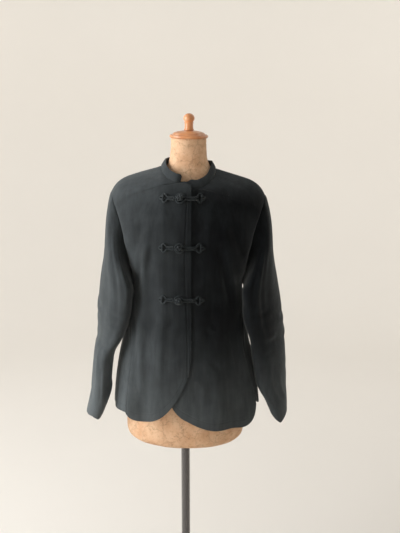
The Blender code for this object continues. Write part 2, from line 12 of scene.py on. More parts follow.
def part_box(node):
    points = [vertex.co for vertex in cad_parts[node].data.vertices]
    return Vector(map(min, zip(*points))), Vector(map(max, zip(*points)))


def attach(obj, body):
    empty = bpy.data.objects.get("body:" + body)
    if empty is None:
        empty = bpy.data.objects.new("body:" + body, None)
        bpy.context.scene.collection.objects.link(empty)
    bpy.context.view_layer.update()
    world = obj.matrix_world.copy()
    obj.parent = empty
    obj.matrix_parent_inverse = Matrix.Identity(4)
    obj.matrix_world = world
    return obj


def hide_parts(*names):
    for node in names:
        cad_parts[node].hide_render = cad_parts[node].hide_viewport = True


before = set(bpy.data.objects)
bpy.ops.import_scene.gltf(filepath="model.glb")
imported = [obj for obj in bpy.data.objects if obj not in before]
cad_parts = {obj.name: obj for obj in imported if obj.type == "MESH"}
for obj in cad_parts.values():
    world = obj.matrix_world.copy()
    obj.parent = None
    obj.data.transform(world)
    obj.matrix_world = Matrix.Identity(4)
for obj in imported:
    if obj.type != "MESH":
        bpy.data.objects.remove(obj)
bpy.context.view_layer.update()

leanTurn = math.radians(0.85)
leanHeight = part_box("form_body")[0].z
leanMatrix = (Matrix.Translation((0, 0, leanHeight)) @ Matrix.Rotation(leanTurn, 4, "Y")
              @ Matrix.Translation((0, 0, -leanHeight)))


# Small helpers

def mix(a, b, f):
    return a + (b - a) * f


def ease(low, high, value):
    f = np.clip((value - low) / (high - low), 0.0, 1.0)
    return f * f * (3.0 - 2.0 * f)


def bell(value, width):
    return np.exp(-(value / width) ** 2)


def smoothRow(rows, place):
    # every column of a table at fractional rows, on a smooth curve through them
    rows = np.asarray(rows, float)
    last = len(rows) - 1
    place = np.clip(np.asarray(place, float), 0, last)
    i = np.minimum(place.astype(int), last - 1)
    f = (place - i)[..., None]
    p, q, s, t = (rows[np.clip(i + k, 0, last)] for k in (-1, 0, 1, 2))
    return 0.5 * (2 * q + (s - p) * f + (2 * p - 5 * q + 4 * s - t) * f ** 2
                  + (3 * q - p - 3 * s + t) * f ** 3)


def unit(vectors):
    return vectors / np.linalg.norm(vectors, axis=-1, keepdims=True)


def metres(millimetres):
    return np.asarray(millimetres, float) / 1000


def evenPath(points, count, endpoint=False):
    # evenly spaced points along a path, their distances along it, and those of its own points
    lengths = np.concatenate([[0], np.cumsum(np.linalg.norm(np.diff(points, axis=0), axis=1))])
    want = np.linspace(0, lengths[-1], count, endpoint=endpoint)
    return np.stack([np.interp(want, lengths, part) for part in points.T], -1), want, lengths


def cloudNoise(points, size, seed):
    # soft uneven values, about -1 to 1, one patch in each size
    flat = points.reshape(-1, 3) / size + seed * 7.31
    return np.array([noise.noise(Vector(p)) for p in flat]).reshape(points.shape[:-1])


# Materials

def paint(hexColour):
    parts = [int(hexColour[i:i + 2], 16) / 255 for i in (1, 3, 5)]
    parts = [c / 12.92 if c <= 0.04045 else ((c + 0.055) / 1.055) ** 2.4 for c in parts]
    return (*parts, 1.0)


def plug(node, sockets):
    # a socket takes a number, a colour, a named output, or a node for its first output
    for socket, value in sockets.items():
        if isinstance(value, bpy.types.Node):
            value = value.outputs[0]
        if isinstance(value, bpy.types.NodeSocket):
            node.id_data.links.new(value, node.inputs[socket])
        else:
            node.inputs[socket].default_value = value


def addNode(material, kind, sockets, **settings):
    node = material.node_tree.nodes.new("ShaderNode" + kind)
    for name, value in settings.items():
        setattr(node, name, value)
    plug(node, sockets)
    return node


def newMaterial(name):
    material = bpy.data.materials.new(name)
    material.use_nodes = True
    add = functools.partial(addNode, material)
    place = add("TexCoord", {}).outputs["Object"]
    return material, add, material.node_tree.nodes["Principled BSDF"], place


def perMetre(millimetres):
    return 1000.0 / millimetres


velvetLook = {
    "deep": "#08090c",          # pile seen end on
    "rubbed": "#1d2123",        # pile laid over, worn edges, and painted highlight on crease ridges
    # painted light: the grey that the lit side, the shoulders and the hem turn towards
    "faded": "#565b5d",
    "dust": "#5a5f60",          # specks of lint
    "pileMm": 1.7,              # real pile is near 0.2 mm, drawn coarser so that it shows
    "brushedMm": 70,            # patches of pile lying one way
    "streakMm": 14,
    "lintMm": 16,
    # painted light and haze: greyer towards the wearer's right, the side the window lamp lights, and
    # towards the shoulders and the hem:
    # axis, where it starts, where it is full, how much
    "paintedLightFades": (("X", 0.10, -0.27, 0.62), ("Z", 1.34, 1.43, 0.34), ("Z", 1.06, 0.72, 0.74)),
    "sheen": 0.32,
    "sheenTint": "#c9d0d2",
}


def cottonVelvet(name, look):
    # Cotton velvet, cut pile brushed down: very dark face on, hazy grey where light grazes it,
    # cloudy where the pile lies another way, and lighter along rubbed edges. Painted highlight lightens
    # crease ridges, and painted light and haze grey the wearer's right, the shoulders and the hem.
    material, add, shader, place = newMaterial(name)
    clouds = add("TexNoise", {"Vector": place, "Scale": perMetre(look["brushedMm"]), "Detail": 3.0,
        "Roughness": 0.6})
    down = add("Mapping", {"Vector": place, "Scale": (1, 1, 0.13)})
    streaks = add("TexNoise", {"Vector": down, "Scale": perMetre(look["streakMm"]), "Detail": 4.0,
        "Roughness": 0.65})
    pile = add("TexNoise", {"Vector": place, "Scale": perMetre(look["pileMm"]), "Detail": 2.0,
        "Roughness": 0.7})
    lint = add("TexVoronoi", {"Vector": place, "Scale": perMetre(look["lintMm"]), "Randomness": 1.0})
    worn = add("Attribute", {}, attribute_name="worn")
    uneven = add("Math", {0: clouds, 1: streaks}, operation="MULTIPLY")
    laid = add("MapRange", {"Value": uneven, "From Min": 0.12, "From Max": 0.40})
    # the worn attribute lightens rubbed edges and, as painted highlight, crease ridges
    laidWornAndRidgeHighlight = add("Math", {0: worn.outputs["Fac"], 1: 0.75, 2: laid}, operation="MULTIPLY_ADD",
        use_clamp=True)
    grained = add("Math", {0: pile, 1: laidWornAndRidgeHighlight}, operation="MULTIPLY")
    shade = add("MapRange", {"Value": grained, "From Min": 0.0, "From Max": 0.75})
    base = add("Mix", {0: shade, 6: paint(look["deep"]), 7: paint(look["rubbed"])}, data_type="RGBA")
    # painted light and haze: the colour greys towards the wearer's right, the shoulders and the hem
    parts = add("SeparateXYZ", {0: place})
    right, top, hem = (add("MapRange", {
        "Value": parts.outputs[axis], "From Min": start, "From Max": end, "To Max": most},
        interpolation_type="SMOOTHSTEP") for axis, start, end, most in look["paintedLightFades"])
    ends = add("Math", {0: top, 1: hem}, operation="ADD")
    fade = add("Math", {0: right, 1: ends}, operation="ADD")
    paintedLightUneven = add("Math", {0: laid, 1: 0.35, 2: 0.65}, operation="MULTIPLY_ADD")
    paintedLightShare = add("Math", {0: fade, 1: paintedLightUneven}, operation="MULTIPLY", use_clamp=True)
    paintedLightGreyed = add("Mix", {0: paintedLightShare, 6: base.outputs[2], 7: paint(look["faded"])}, data_type="RGBA")
    speck = add("MapRange", {"Value": lint.outputs["Distance"], "From Min": 0.035, "From Max": 0.02,
        "To Max": 0.5})
    dusty = add("Mix", {0: speck, 6: paintedLightGreyed.outputs[2], 7: paint(look["dust"])}, data_type="RGBA")
    height = add("Math", {0: clouds, 1: 1.6, 2: pile}, operation="MULTIPLY_ADD")
    bump = add("Bump", {"Height": height, "Strength": 0.55, "Distance": 0.0009})
    plug(shader, {"Base Color": dusty.outputs[2], "Normal": bump, "Roughness": 0.92, "IOR": 1.45,
        "Specular IOR Level": 0.12, "Sheen Weight": look["sheen"], "Sheen Roughness": 0.42,
        "Sheen Tint": paint(look["sheenTint"])})
    return material


linenLook = {
    "light": "#e6c19d",
    "middle": "#d3a57f",
    "stain": "#ab7c57",
    "crackLine": "#7d5436",
    "threadMm": 1.5,            # linen thread, drawn about twice its size
    "patchMm": 45,              # torn sheets of paper
}


def agedLinenPaper(name, look):
    # Linen and paper glued over a shell and darkened by age: dull tan with cloudy stains,
    # paper edges and hair cracks, and a faint weave under the glue.
    material, add, shader, place = newMaterial(name)
    clouds = add("TexNoise", {"Vector": place, "Scale": perMetre(38), "Detail": 6.0, "Roughness": 0.62})
    small = add("TexNoise", {"Vector": place, "Scale": perMetre(7), "Detail": 5.0, "Roughness": 0.7})
    bent = add("VectorMath", {0: clouds.outputs["Color"], 1: (0.055, 0.055, 0.055), 2: place},
        operation="MULTIPLY_ADD")
    edges = add("TexVoronoi", {"Vector": bent, "Scale": perMetre(look["patchMm"])},
        feature="DISTANCE_TO_EDGE")
    cracks = add("TexVoronoi", {"Vector": bent, "Scale": perMetre(17)}, feature="DISTANCE_TO_EDGE")
    warp = add("TexWave", {"Vector": place, "Scale": perMetre(look["threadMm"]) / 6.3,
        "Distortion": 1.2, "Detail": 1.0}, bands_direction="Z")
    weft = add("TexWave", {"Vector": place, "Scale": perMetre(look["threadMm"]) / 6.3,
        "Distortion": 1.2, "Detail": 1.0}, bands_direction="X")
    tone = add("MapRange", {"Value": clouds, "From Min": 0.36, "From Max": 0.66})
    base = add("Mix", {0: tone, 6: paint(look["middle"]), 7: paint(look["light"])}, data_type="RGBA")
    blotch = add("MapRange", {"Value": small, "From Min": 0.52, "From Max": 0.78, "To Max": 0.75})
    stained = add("Mix", {0: blotch, 6: base.outputs[2], 7: paint(look["stain"])}, data_type="RGBA")
    hair = add("MapRange", {"Value": cracks, "From Min": 0.035, "From Max": 0.0})
    broken = add("Math", {0: hair, 1: blotch}, operation="MULTIPLY")
    overlap = add("MapRange", {"Value": edges, "From Min": 0.03, "From Max": 0.0, "To Max": 0.35})
    lines = add("Math", {0: broken, 1: overlap}, operation="ADD", use_clamp=True)
    colour = add("Mix", {0: lines, 6: stained.outputs[2], 7: paint(look["crackLine"])},
        data_type="RGBA")
    weave = add("Math", {0: warp.outputs[1], 1: weft.outputs[1]}, operation="MAXIMUM")
    relief = add("Math", {0: lines, 1: -1.6, 2: small}, operation="MULTIPLY_ADD")
    height = add("Math", {0: weave, 1: 0.25, 2: relief}, operation="MULTIPLY_ADD")
    bump = add("Bump", {"Height": height, "Strength": 0.6, "Distance": 0.0009})
    plug(shader, {"Base Color": colour.outputs[2], "Normal": bump, "Roughness": 0.78, "IOR": 1.5})
    return material


woodLook = {
    "pale": "#df9862",
    "dark": "#ad6638",
    "worn": "#eec29c",
    "ringMm": 9,                # spacing of the growth rings
    "poreMm": 1.3,
}


def varnishedBeech(name, look):
    # Turned beech under old orange-brown varnish: soft growth rings, short dark flecks,
    # a satin gloss, and paler worn patches.
    material, add, shader, place = newMaterial(name)
    lying = add("Mapping", {"Vector": place, "Rotation": (0.0, math.radians(78), 0.2),
        "Scale": (1, 1, 0.25)})
    rings = add("TexWave", {"Vector": lying, "Scale": perMetre(look["ringMm"]) / 6.3, "Distortion": 5.0,
        "Detail": 3.0, "Detail Scale": 1.4})
    flecks = add("TexNoise", {"Vector": lying, "Scale": perMetre(look["poreMm"]), "Detail": 2.0})
    wear = add("TexNoise", {"Vector": place, "Scale": perMetre(22), "Detail": 3.0})
    grain = add("Math", {0: rings.outputs[1], 1: flecks}, operation="MULTIPLY")
    base = add("Mix", {0: grain, 6: paint(look["pale"]), 7: paint(look["dark"])}, data_type="RGBA")
    rubbed = add("MapRange", {"Value": wear, "From Min": 0.55, "From Max": 0.75, "To Max": 0.6})
    colour = add("Mix", {0: rubbed, 6: base.outputs[2], 7: paint(look["worn"])}, data_type="RGBA")
    bump = add("Bump", {"Height": grain, "Strength": 0.25, "Distance": 0.0004})
    gloss = add("MapRange", {"Value": wear, "To Min": 0.30, "To Max": 0.48})
    plug(shader, {"Base Color": colour.outputs[2], "Normal": bump, "Roughness": gloss, "IOR": 1.5,
        "Coat Weight": 0.5, "Coat Roughness": 0.18})
    return material


paintedMetals = {
    "glossLacqueredSteel": {"face": "#454240", "rub": "#66605a", "roughness": (0.16, 0.30),
                            "coat": 1.0, "peelMm": 9, "peel": 0.00012},
    "satinPaintedIron": {"face": "#121213", "rub": "#2b2a29", "roughness": (0.34, 0.50),
                         "coat": 0.25, "peelMm": 5, "peel": 0.0005},
}


def paintedMetal(name):
    # Black paint on metal: deep colour with faint rub marks. Lacquer on tube is smooth and
    # mirrors the room, and brushed paint on a casting is duller with a pebbled skin.
    look = paintedMetals[name]
    material, add, shader, place = newMaterial(name)
    skin = add("TexNoise", {"Vector": place, "Scale": perMetre(look["peelMm"]), "Detail": 3.0})
    marks = add("TexNoise", {"Vector": place, "Scale": perMetre(60), "Detail": 8.0, "Roughness": 0.75})
    rubbed = add("MapRange", {"Value": marks, "From Min": 0.56, "From Max": 0.80})
    colour = add("Mix", {0: rubbed, 6: paint(look["face"]), 7: paint(look["rub"])}, data_type="RGBA")
    low, high = look["roughness"]
    gloss = add("MapRange", {"Value": marks, "From Min": 0.3, "From Max": 0.7, "To Min": low,
        "To Max": high})
    bump = add("Bump", {"Height": skin, "Strength": 0.4, "Distance": look["peel"]})
    plug(shader, {"Base Color": colour.outputs[2], "Roughness": gloss, "Normal": bump,
        "Coat Weight": look["coat"], "Coat Roughness": 0.08})
    return material


def limewash(name):
    # Limewashed plaster: matt, pale and a little cloudy
    material, add, shader, place = newMaterial(name)
    clouds = add("TexNoise", {"Vector": place, "Scale": 0.9, "Detail": 6.0})
    tone = add("MapRange", {"Value": clouds, "To Max": 0.12})
    colour = add("Mix", {
        0: tone, 6: paint(room["paintColour"]), 7: paint(room["paintCloud"])}, data_type="RGBA")
    plug(shader, {"Base Color": colour.outputs[2], "Roughness": 0.95})
    return material


# Camera, lights and floor

room = {
    "eye": (0.042, -2.05, 1.66),
    "tilt": 76.5,               # degrees from straight down
    "lens": 52.0,
    "wallRadius": 4.3,
    "coveRadius": 1.6,
    "wallHeight": 4.2,
    "paintColour": "#ebe7e1",
    "paintCloud": "#b9b0a2",
    "airColour": "#f4f2ee",
    "airStrength": 0.15,
}
lamps = (
    # name, place, aim, size, watts, colour
    ("window", (-2.3, -0.75, 1.75), (0.0, 0.0, 1.12), (1.5, 2.1), 80, "#fbfdff"),
    ("lowBounce", (-0.9, -2.4, 0.25), (0.0, 0.0, 0.85), (1.6, 0.7), 7, "#fff6ea"),
    ("wallWashLeft", (-2.2, 1.3, 3.3), (-0.6, 4.3, 1.0), (2.4, 1.0), 40, "#fffdf9"),
    ("wallWashRight", (2.2, 1.3, 3.3), (0.8, 4.3, 1.0), (2.4, 1.0), 34, "#fffcf6"),
    ("roomTop", (0.0, 0.0, 4.0), (0.0, 0.0, 0.0), (4.5, 4.5), 24, "#ffffff"),
)


def areaLight(name, place, aim, size, watts, colour):
    data = bpy.data.lights.new(name, "AREA")
    data.shape = "RECTANGLE"
    data.size, data.size_y = size
    data.energy = watts
    data.color = paint(colour)[:3]
    lamp = bpy.data.objects.new(name, data)
    lamp.location = place
    lamp.rotation_euler = (Vector(aim) - Vector(place)).to_track_quat("-Z", "Y").to_euler()
    lamp.visible_camera = False
    bpy.context.scene.collection.objects.link(lamp)


def makeStudio():
    data = bpy.data.cameras.new("camera")
    data.lens = room["lens"]
    camera = bpy.data.objects.new("camera", data)
    camera.location = room["eye"]
    camera.rotation_euler = (math.radians(room["tilt"]), 0.0, 0.0)
    bpy.context.scene.collection.objects.link(camera)
    bpy.context.scene.camera = camera
    for lamp in lamps:
        areaLight(*lamp)
    world = bpy.data.worlds.new("room")
    world.use_nodes = True
    plug(world.node_tree.nodes["Background"], {0: paint(room["airColour"]), 1: room["airStrength"]})
    bpy.context.scene.world = world
    bpy.context.scene.view_settings.view_transform = "Standard"
    radius, cove = room["wallRadius"], room["coveRadius"]
    profile = [(0.01, 0.0), (radius - cove, 0.0)]
    profile += [(radius - cove + cove * math.sin(a), cove - cove * math.cos(a))
                for a in np.linspace(0.08, math.pi / 2, 14)]
    profile += [(radius, room["wallHeight"])]
    floor = turnedPiece("floorAndWall", profile, 96)
    floor.data.flip_normals()
    floor.data.materials.append(limewash("limewashedPlaster"))


# Making meshes

def meshObject(name, points, faces, lean=True):
    data = bpy.data.meshes.new(name)
    data.from_pydata([tuple(p) for p in points], [], [tuple(f) for f in faces])
    if lean:
        data.transform(leanMatrix)
    data.validate()
    data.shade_smooth()
    piece = bpy.data.objects.new(name, data)
    bpy.context.scene.collection.objects.link(piece)
    return piece


def gridFaces(columns, levels, wrap=False):
    a = np.arange(columns * levels).reshape(columns, levels)
    near, far = (a, np.roll(a, -1, 0)) if wrap else (a[:-1], a[1:])
    return np.stack([near[:, :-1], far[:, :-1], far[:, 1:], near[:, 1:]], -1).reshape(-1, 4)


def cleanMesh(piece, weld=None, fill=False):
    mesh = bmesh.new()
    mesh.from_mesh(piece.data)
    if weld:
        bmesh.ops.remove_doubles(mesh, verts=mesh.verts, dist=weld)
    if fill:
        bmesh.ops.holes_fill(mesh, edges=[e for e in mesh.edges if e.is_boundary])
    bmesh.ops.recalc_face_normals(mesh, faces=mesh.faces)
    mesh.to_mesh(piece.data)
    mesh.free()
    piece.data.shade_smooth()
    return piece


def markWornAndRidgeHighlight(piece, values):
    # how far the pile is rubbed at each point, with painted highlight on crease ridges, for the velvet
    worn = piece.data.attributes.new("worn", "FLOAT", "POINT")
    values = np.broadcast_to(values, len(piece.data.vertices))
    worn.data.foreach_set("value", values.astype(np.float32))
    return piece


def turnedPiece(name, profile, steps, lean=False, height=0.0):
    # the profile's first point lies at the axis or nearest to it
    angles = np.linspace(0, 2 * math.pi, steps, endpoint=False)
    rings = np.array([[(r * math.cos(a), r * math.sin(a), z + height) for r, z in profile]
                      for a in angles])
    faces = gridFaces(steps, len(profile), wrap=True)
    return cleanMesh(meshObject(name, rings.reshape(-1, 3), faces, lean), weld=0.00002)


def clothPiece(name, grid, wear, wrap=False, flip=False):
    # a thin shell with rounded edges round a grid of mid-cloth points, columns by levels
    faces = gridFaces(grid.shape[0], grid.shape[1], wrap)
    if flip:
        faces = faces[:, ::-1]
    piece = markWornAndRidgeHighlight(meshObject(name, grid.reshape(-1, 3), faces), wear.reshape(-1))
    shell = piece.modifiers.new("wall", "SOLIDIFY")
    shell.thickness = jacket["cloth"]
    shell.offset = 0.0
    rim = piece.modifiers.new("turnedEdge", "BEVEL")
    rim.limit_method = "ANGLE"
    rim.angle_limit = math.radians(55)
    rim.width = jacket["cloth"] * 0.42
    rim.segments = 3
    return piece


# The jacket's surface: level rings below the underarm, then rows over the chest and shoulder

jacket = {
    "cloth": 0.0020,
    "lap": 0.0034,              # the right front lies this far outside the left one
    "seamGap": 0.0016,          # sleeve and collar start this far from the panel's edge line
    "seamAngle": 0.12,          # degrees that each panel stops short of the side seam
    "seamRow": 0.022,           # rows that each panel stops short of the shoulder seam
    "edgeTop": 0.009,           # right front's free edge at the neck
    "edgeSlope": 0.013,         # and its drift for each metre down
    "underlap": 0.048,
    "hemSide": 0.7790,
    "hemBack": 0.7740,
    "ventTop": 0.96,
    "edgeStitch": 0.0095,       # row of stitches inside the free edges
    "hemStitch": 0.022,
    # height of the pocket mouth in the side seam, its half length, and how far it gapes
    "pocketMouth": (1.020, 0.040, 0.0045),
    "pocketLip": (1.022, 0.038, 0.0042),
    "hemStitchDepth": 0.0007,     # depth of the hem's row of stitches
    "seamDent": 0.0012,
}
# hems at the free edge and at the vent (the left before that side's drop), rounded corners as
# width and height, how far the vent edge stands out, how far the back passes under it, and
# the column of bodyRings that holds the side seam's angle
sides = {
    "frontRight": {"frontGirth": 0.205, "backGirth": 0.34, "hem": 0.7700, "ventHem": 0.7640,
                   "corner": (0.125, 0.200), "ventCorner": (0.078, 0.033), "lift": 0.024,
                   "under": 9.0, "backCorner": (0.030, 0.030), "seam": 4},
    "frontLeft": {"frontGirth": 0.270, "backGirth": 0.27, "hem": 0.7640, "ventHem": 0.7500,
                  "corner": (0.100, 0.125), "ventCorner": (0.105, 0.105), "lift": 0.003,
                  "under": 0.0, "backCorner": (0.080, 0.100), "seam": 5},
}
bodyPower = 2.3
shoulderBend = 0.44             # how late the cloth falls over the shoulder's end
underarmRow, neckRow, napeRow, topRow = 5, 9, 10, 13

# height, half width, front, back, angles of the right and left side seams
bodyRings = (
    (0.735, 0.2090, 0.1400, 0.1220, 42.0, 80.0),
    (0.830, 0.2020, 0.1390, 0.1190, 45.0, 71.0),
    (0.920, 0.1880, 0.1360, 0.1140, 50.0, 62.0),
    (1.000, 0.1690, 0.1330, 0.1090, 57.0, 59.0),
    (1.075, 0.1572, 0.1310, 0.1060, 70.0, 70.0),
    (1.150, 0.1500, 0.1300, 0.1060, 90.0, 90.0),
)
# inner x, y, z, armhole x, y, z, roundness, droop over the shoulder's end
frontYoke = (
    (0.0000, -0.131, 1.210, 0.155, -0.030, 1.185, 2.3, 0.0),
    (0.0000, -0.127, 1.272, 0.163, -0.048, 1.235, 2.2, 0.0),
    (0.0000, -0.113, 1.338, 0.174, -0.050, 1.285, 2.0, 0.1),
    (0.0000, -0.084, 1.402, 0.187, -0.040, 1.327, 1.8, 0.3),
    (0.0300, -0.080, 1.405, 0.193, -0.036, 1.342, 1.6, 0.5),
    (0.0550, -0.063, 1.414, 0.198, -0.029, 1.355, 1.4, 0.7),
    (0.0690, -0.034, 1.427, 0.202, -0.018, 1.365, 1.2, 0.9),
    (0.0735, 0.0000, 1.440, 0.205, 0.0000, 1.372, 1.0, 1.0),
)
backYoke = (
    (0.0000, 0.110, 1.215, 0.156, 0.040, 1.185, 2.3, 0.0),
    (0.0000, 0.110, 1.285, 0.165, 0.058, 1.240, 2.2, 0.0),
    (0.0000, 0.100, 1.350, 0.178, 0.054, 1.295, 2.0, 0.2),
    (0.0000, 0.083, 1.400, 0.189, 0.043, 1.334, 1.8, 0.4),
    (0.0000, 0.061, 1.432, 0.196, 0.032, 1.354, 1.6, 0.6),
    (0.0400, 0.054, 1.434, 0.200, 0.024, 1.363, 1.4, 0.8),
    (0.0630, 0.032, 1.437, 0.203, 0.014, 1.369, 1.2, 0.9),
    (0.0735, 0.000, 1.440, 0.205, 0.000, 1.372, 1.0, 1.0),
)
frontRows = np.array([(0, -f, z, w, 0, z, bodyPower, 0) for z, w, f, b, *seams in bodyRings]
                     + list(frontYoke))
backRows = np.array([(0, b, z, w, 0, z, bodyPower, 0) for z, w, f, b, *seams in bodyRings]
                    + list(backYoke))
leftDrop = ((0, 9, 13), (0.019, 0.015, 0.003))      # rows, and the fall of the left side there

# flutes up from the hem: angle, width in degrees, depth, height where each has faded
flutes = (
    (-24.0, 9.0, 0.0045, 1.02), (22.0, 8.0, 0.0050, 1.06), (37.0, 7.0, -0.0040, 0.98),
    (-82.0, 11.0, -0.0070, 1.05), (84.0, 12.0, 0.0020, 1.02), (108.0, 9.0, 0.0050, 1.00),
    (-118.0, 10.0, 0.0060, 1.08), (148.0, 10.0, 0.0070, 1.10), (-160.0, 9.0, 0.0065, 1.06),
)

# Creases on the body, in millimetres: points (x, height), half width, rise (- is a trough)
frontCreases = (
    (((-104, 1262), (-111, 1180), (-116, 1090)), 6.5, 3.6),
    (((-82, 1200), (-86, 1110), (-98, 1000), (-103, 900)), 13, -3.4),
    (((-60, 1080), (-66, 985), (-74, 880)), 11, 1.8),
    (((-118, 1070), (-122, 990), (-118, 900), (-112, 820)), 8, 2.8),
    (((-150, 1215), (-128, 1262), (-108, 1322)), 11, -3.8),
    (((-140, 1170), (-118, 1215), (-85, 1270)), 12, 2.4),
    (((-135, 1300), (-115, 1350), (-95, 1388)), 12, -2.2),
    (((-72, 1385), (-62, 1330), (-58, 1270)), 14, 1.8),
    (((-46, 1228), (-52, 1170), (-50, 1120)), 10, -1.8),
    (((-15, 1215), (-22, 1180), (-16, 1140)), 8, 1.4),
    (((-30, 1060), (-44, 1035), (-66, 1028)), 7, -1.4),
    (((-20, 960), (-45, 945), (-70, 958)), 9, -1.3),
    (((-30, 1330), (-48, 1318), (-70, 1322)), 8, 1.2),
    (((78, 1262), (95, 1190), (110, 1120), (126, 1055)), 8.5, -3.8),
    (((98, 1250), (116, 1165), (133, 1085)), 9, 2.6),
    (((132, 1040), (142, 980), (158, 915), (168, 868)), 7.5, 4),
    (((60, 1150), (68, 1060), (66, 960)), 13, -2.2),
    (((58, 1042), (68, 1026), (80, 1024)), 6, 1.6),
    (((68, 946), (80, 928), (94, 922)), 7.5, -2.2),
    (((128, 880), (134, 830), (136, 790)), 10, 2.6),
    (((152, 1210), (132, 1262), (112, 1318)), 11, -3.6),
    (((142, 1165), (118, 1220), (80, 1280)), 12, 2.2),
    (((60, 1380), (56, 1320), (50, 1260)), 15, 1.8),
    (((128, 1345), (105, 1375), (85, 1392)), 11, -2),
    (((30, 1215), (34, 1180), (26, 1150)), 8, -1.6),
    (((28, 1075), (34, 1030), (42, 980)), 10, 1.4),
    (((30, 900), (48, 860), (52, 810)), 11, 1.8),
)
backCreases = (
    (((-150, 1205), (-118, 1255), (-82, 1330)), 12, -4),
    (((-138, 1160), (-104, 1220), (-70, 1275)), 11, 2.8),
    (((-96, 1250), (-88, 1120), (-102, 980)), 14, 3.4),
    (((-45, 1210), (-40, 1110), (-52, 1000), (-50, 900)), 13, -3.2),
    (((148, 1210), (120, 1250), (88, 1320)), 11, -3.8),
    (((140, 1165), (110, 1215), (62, 1290)), 12, 2.6),
    (((85, 1240), (92, 1130), (80, 1010)), 13, 3),
    (((30, 1190), (36, 1080), (24, 950)), 14, -3),
    (((4, 1120), (-4, 1030), (2, 930)), 9, 1.8),
    (((-60, 1418), (0, 1396), (62, 1416)), 9, -2),
    (((-80, 1070), (-50, 1058), (-18, 1066)), 8, 1.6),
    (((20, 1045), (50, 1034), (82, 1044)), 7.5, -1.8),
    (((118, 1060), (126, 960), (138, 870)), 11, 3.4),
    (((-122, 1080), (-130, 990), (-140, 890)), 10, -3),
    (((-10, 1330), (-16, 1270), (-8, 1215)), 11, -1.4),
    (((40, 900), (50, 840), (46, 790)), 11, 2.2),
)


def creaseRise(u, v, creases, fold=None):
    # Soft ridges and troughs across a sheet with coordinates u and v in metres. Each one fades
    # at its ends and leaves a shallow hollow on both sides. fold is the girth of a closed tube.
    rise = np.zeros(np.shape(u))
    for line, width, height in creases:
        path = smoothRow(metres(line), np.linspace(0, len(line) - 1, 20))
        nearest, along = np.full(np.shape(u), 9.0), np.zeros(np.shape(u))
        for k, (a, b) in enumerate(zip(path, path[1:])):
            step = b - a
            du = u - a[0]
            if fold is not None:
                du = du - fold * np.round(du / fold)
            f = np.clip((du * step[0] + (v - a[1]) * step[1]) / (step @ step), 0, 1)
            gap = np.hypot(du - f * step[0], v - a[1] - f * step[1])
            closer = gap < nearest
            nearest = np.where(closer, gap, nearest)
            along = np.where(closer, (k + f) / (len(path) - 1), along)
        ends = ease(0.0, 0.3, along) * ease(1.0, 0.65, along)
        q = nearest / metres(width)
        rise += metres(height) * ends * (bell(q, 1.0) - 0.30 * bell(q - 2.0, 0.9))
    return rise


def plainPoint(row, angle):
    # smooth surface of the body at a row and an angle from the centre front, + to the left
    behind = np.abs(angle) > 90
    turn = np.radians(np.where(behind, 180 - np.abs(angle), np.abs(angle)))
    values = np.where(behind[..., None], smoothRow(backRows, row), smoothRow(frontRows, row))
    inX, inY, inZ, outX, outY, outZ, power, droop = np.moveaxis(values, -1, 0)
    s, c = np.clip(np.sin(turn), 0, 1), np.clip(np.cos(turn), 0, 1)
    fall = s * s
    fall = fall * (1 - shoulderBend * droop) + shoulderBend * droop * fall ** 8
    x = mix(np.maximum(inX, 0), outX, s ** (2 / power))
    y = mix(outY, inY, c ** (2 / power))
    return np.stack([np.copysign(x, angle), y, mix(inZ, outZ, fall)], -1)


def outward(row, angle):
    rise = plainPoint(row + 0.05, angle) - plainPoint(row - 0.05, angle)
    turn = plainPoint(row, angle + 0.5) - plainPoint(row, angle - 0.5)
    return unit(np.cross(turn, rise))


def jacketPoint(panel, row, angle, lift=0.0):
    row, angle = np.broadcast_arrays(np.asarray(row, float), np.asarray(angle, float))
    spot = plainPoint(row, angle)
    total = lift + np.zeros(row.shape)
    for place, width, depth, top in flutes:
        gap = (angle - place + 180) % 360 - 180
        total = total + depth * ease(top, 0.78, spot[..., 2]) * bell(gap, width)
    if panel == "frontRight":
        total = total + jacket["lap"] * ease(-0.095, -0.058, spot[..., 0])
    spot = spot + outward(row, angle) * total[..., None]
    if panel == "frontLeft":
        share = 1.0
    elif panel == "frontRight":
        share = 0.0
    else:
        reach = mix(0.072, 0.140, ease(1.40, 1.10, spot[..., 2]))
        share = ease(-reach, reach, spot[..., 0])
    spot[..., 2] -= np.interp(row, *leftDrop) * share
    return spot


def angleForX(row, x):
    values = smoothRow(frontRows, row)
    share = np.minimum(np.abs(x) / values[..., 3], 1.0)
    return np.copysign(np.degrees(np.arcsin(share ** (values[..., 6] / 2))), x)


def seamAngle(row, panel):
    angles = [(ring[sides[panel]["seam"]],) for ring in bodyRings]
    return smoothRow(angles, np.minimum(row, underarmRow))[..., 0]


def rowForHeight(height):
    rows = np.linspace(0, underarmRow, 400)
    return np.interp(height, smoothRow(frontRows, rows)[:, 2], rows)


def cornerRise(gap, width, height):
    inside = np.clip(gap / width, 0, 1)
    return height * (1 - np.sqrt(np.maximum(1 - (1 - inside) ** 2, 0)))


def stitchRow(gap, at, width=0.0011, depth=0.0009):
    # the dent of a row of stitches, with cloth swelling a little on both sides
    return -depth * bell(gap - at, width) + 0.3 * depth * bell(np.abs(gap - at) - 2.6 * width, width)


def clothUneven(points, seed):
    # the slack of cloth between its creases
    return 0.0007 * cloudNoise(points, 0.062, seed) + 0.00035 * cloudNoise(points, 0.021, seed + 3)


def ridgeHighlightAndWear(lift, edges):
    # painted highlight: lighter on crease ridges; and the pile is rubbed along edges
    return np.clip(ease(0.0006, 0.0040, lift) * 0.8 + edges, 0, 1)


def spread(fineStart, fineStep, step):
    # places from 0 to 1, close together over the first stretch
    fine = np.arange(0, fineStart, fineStep)
    return np.concatenate([fine, np.linspace(fineStart, 1.0, int((1 - fineStart) / step))])


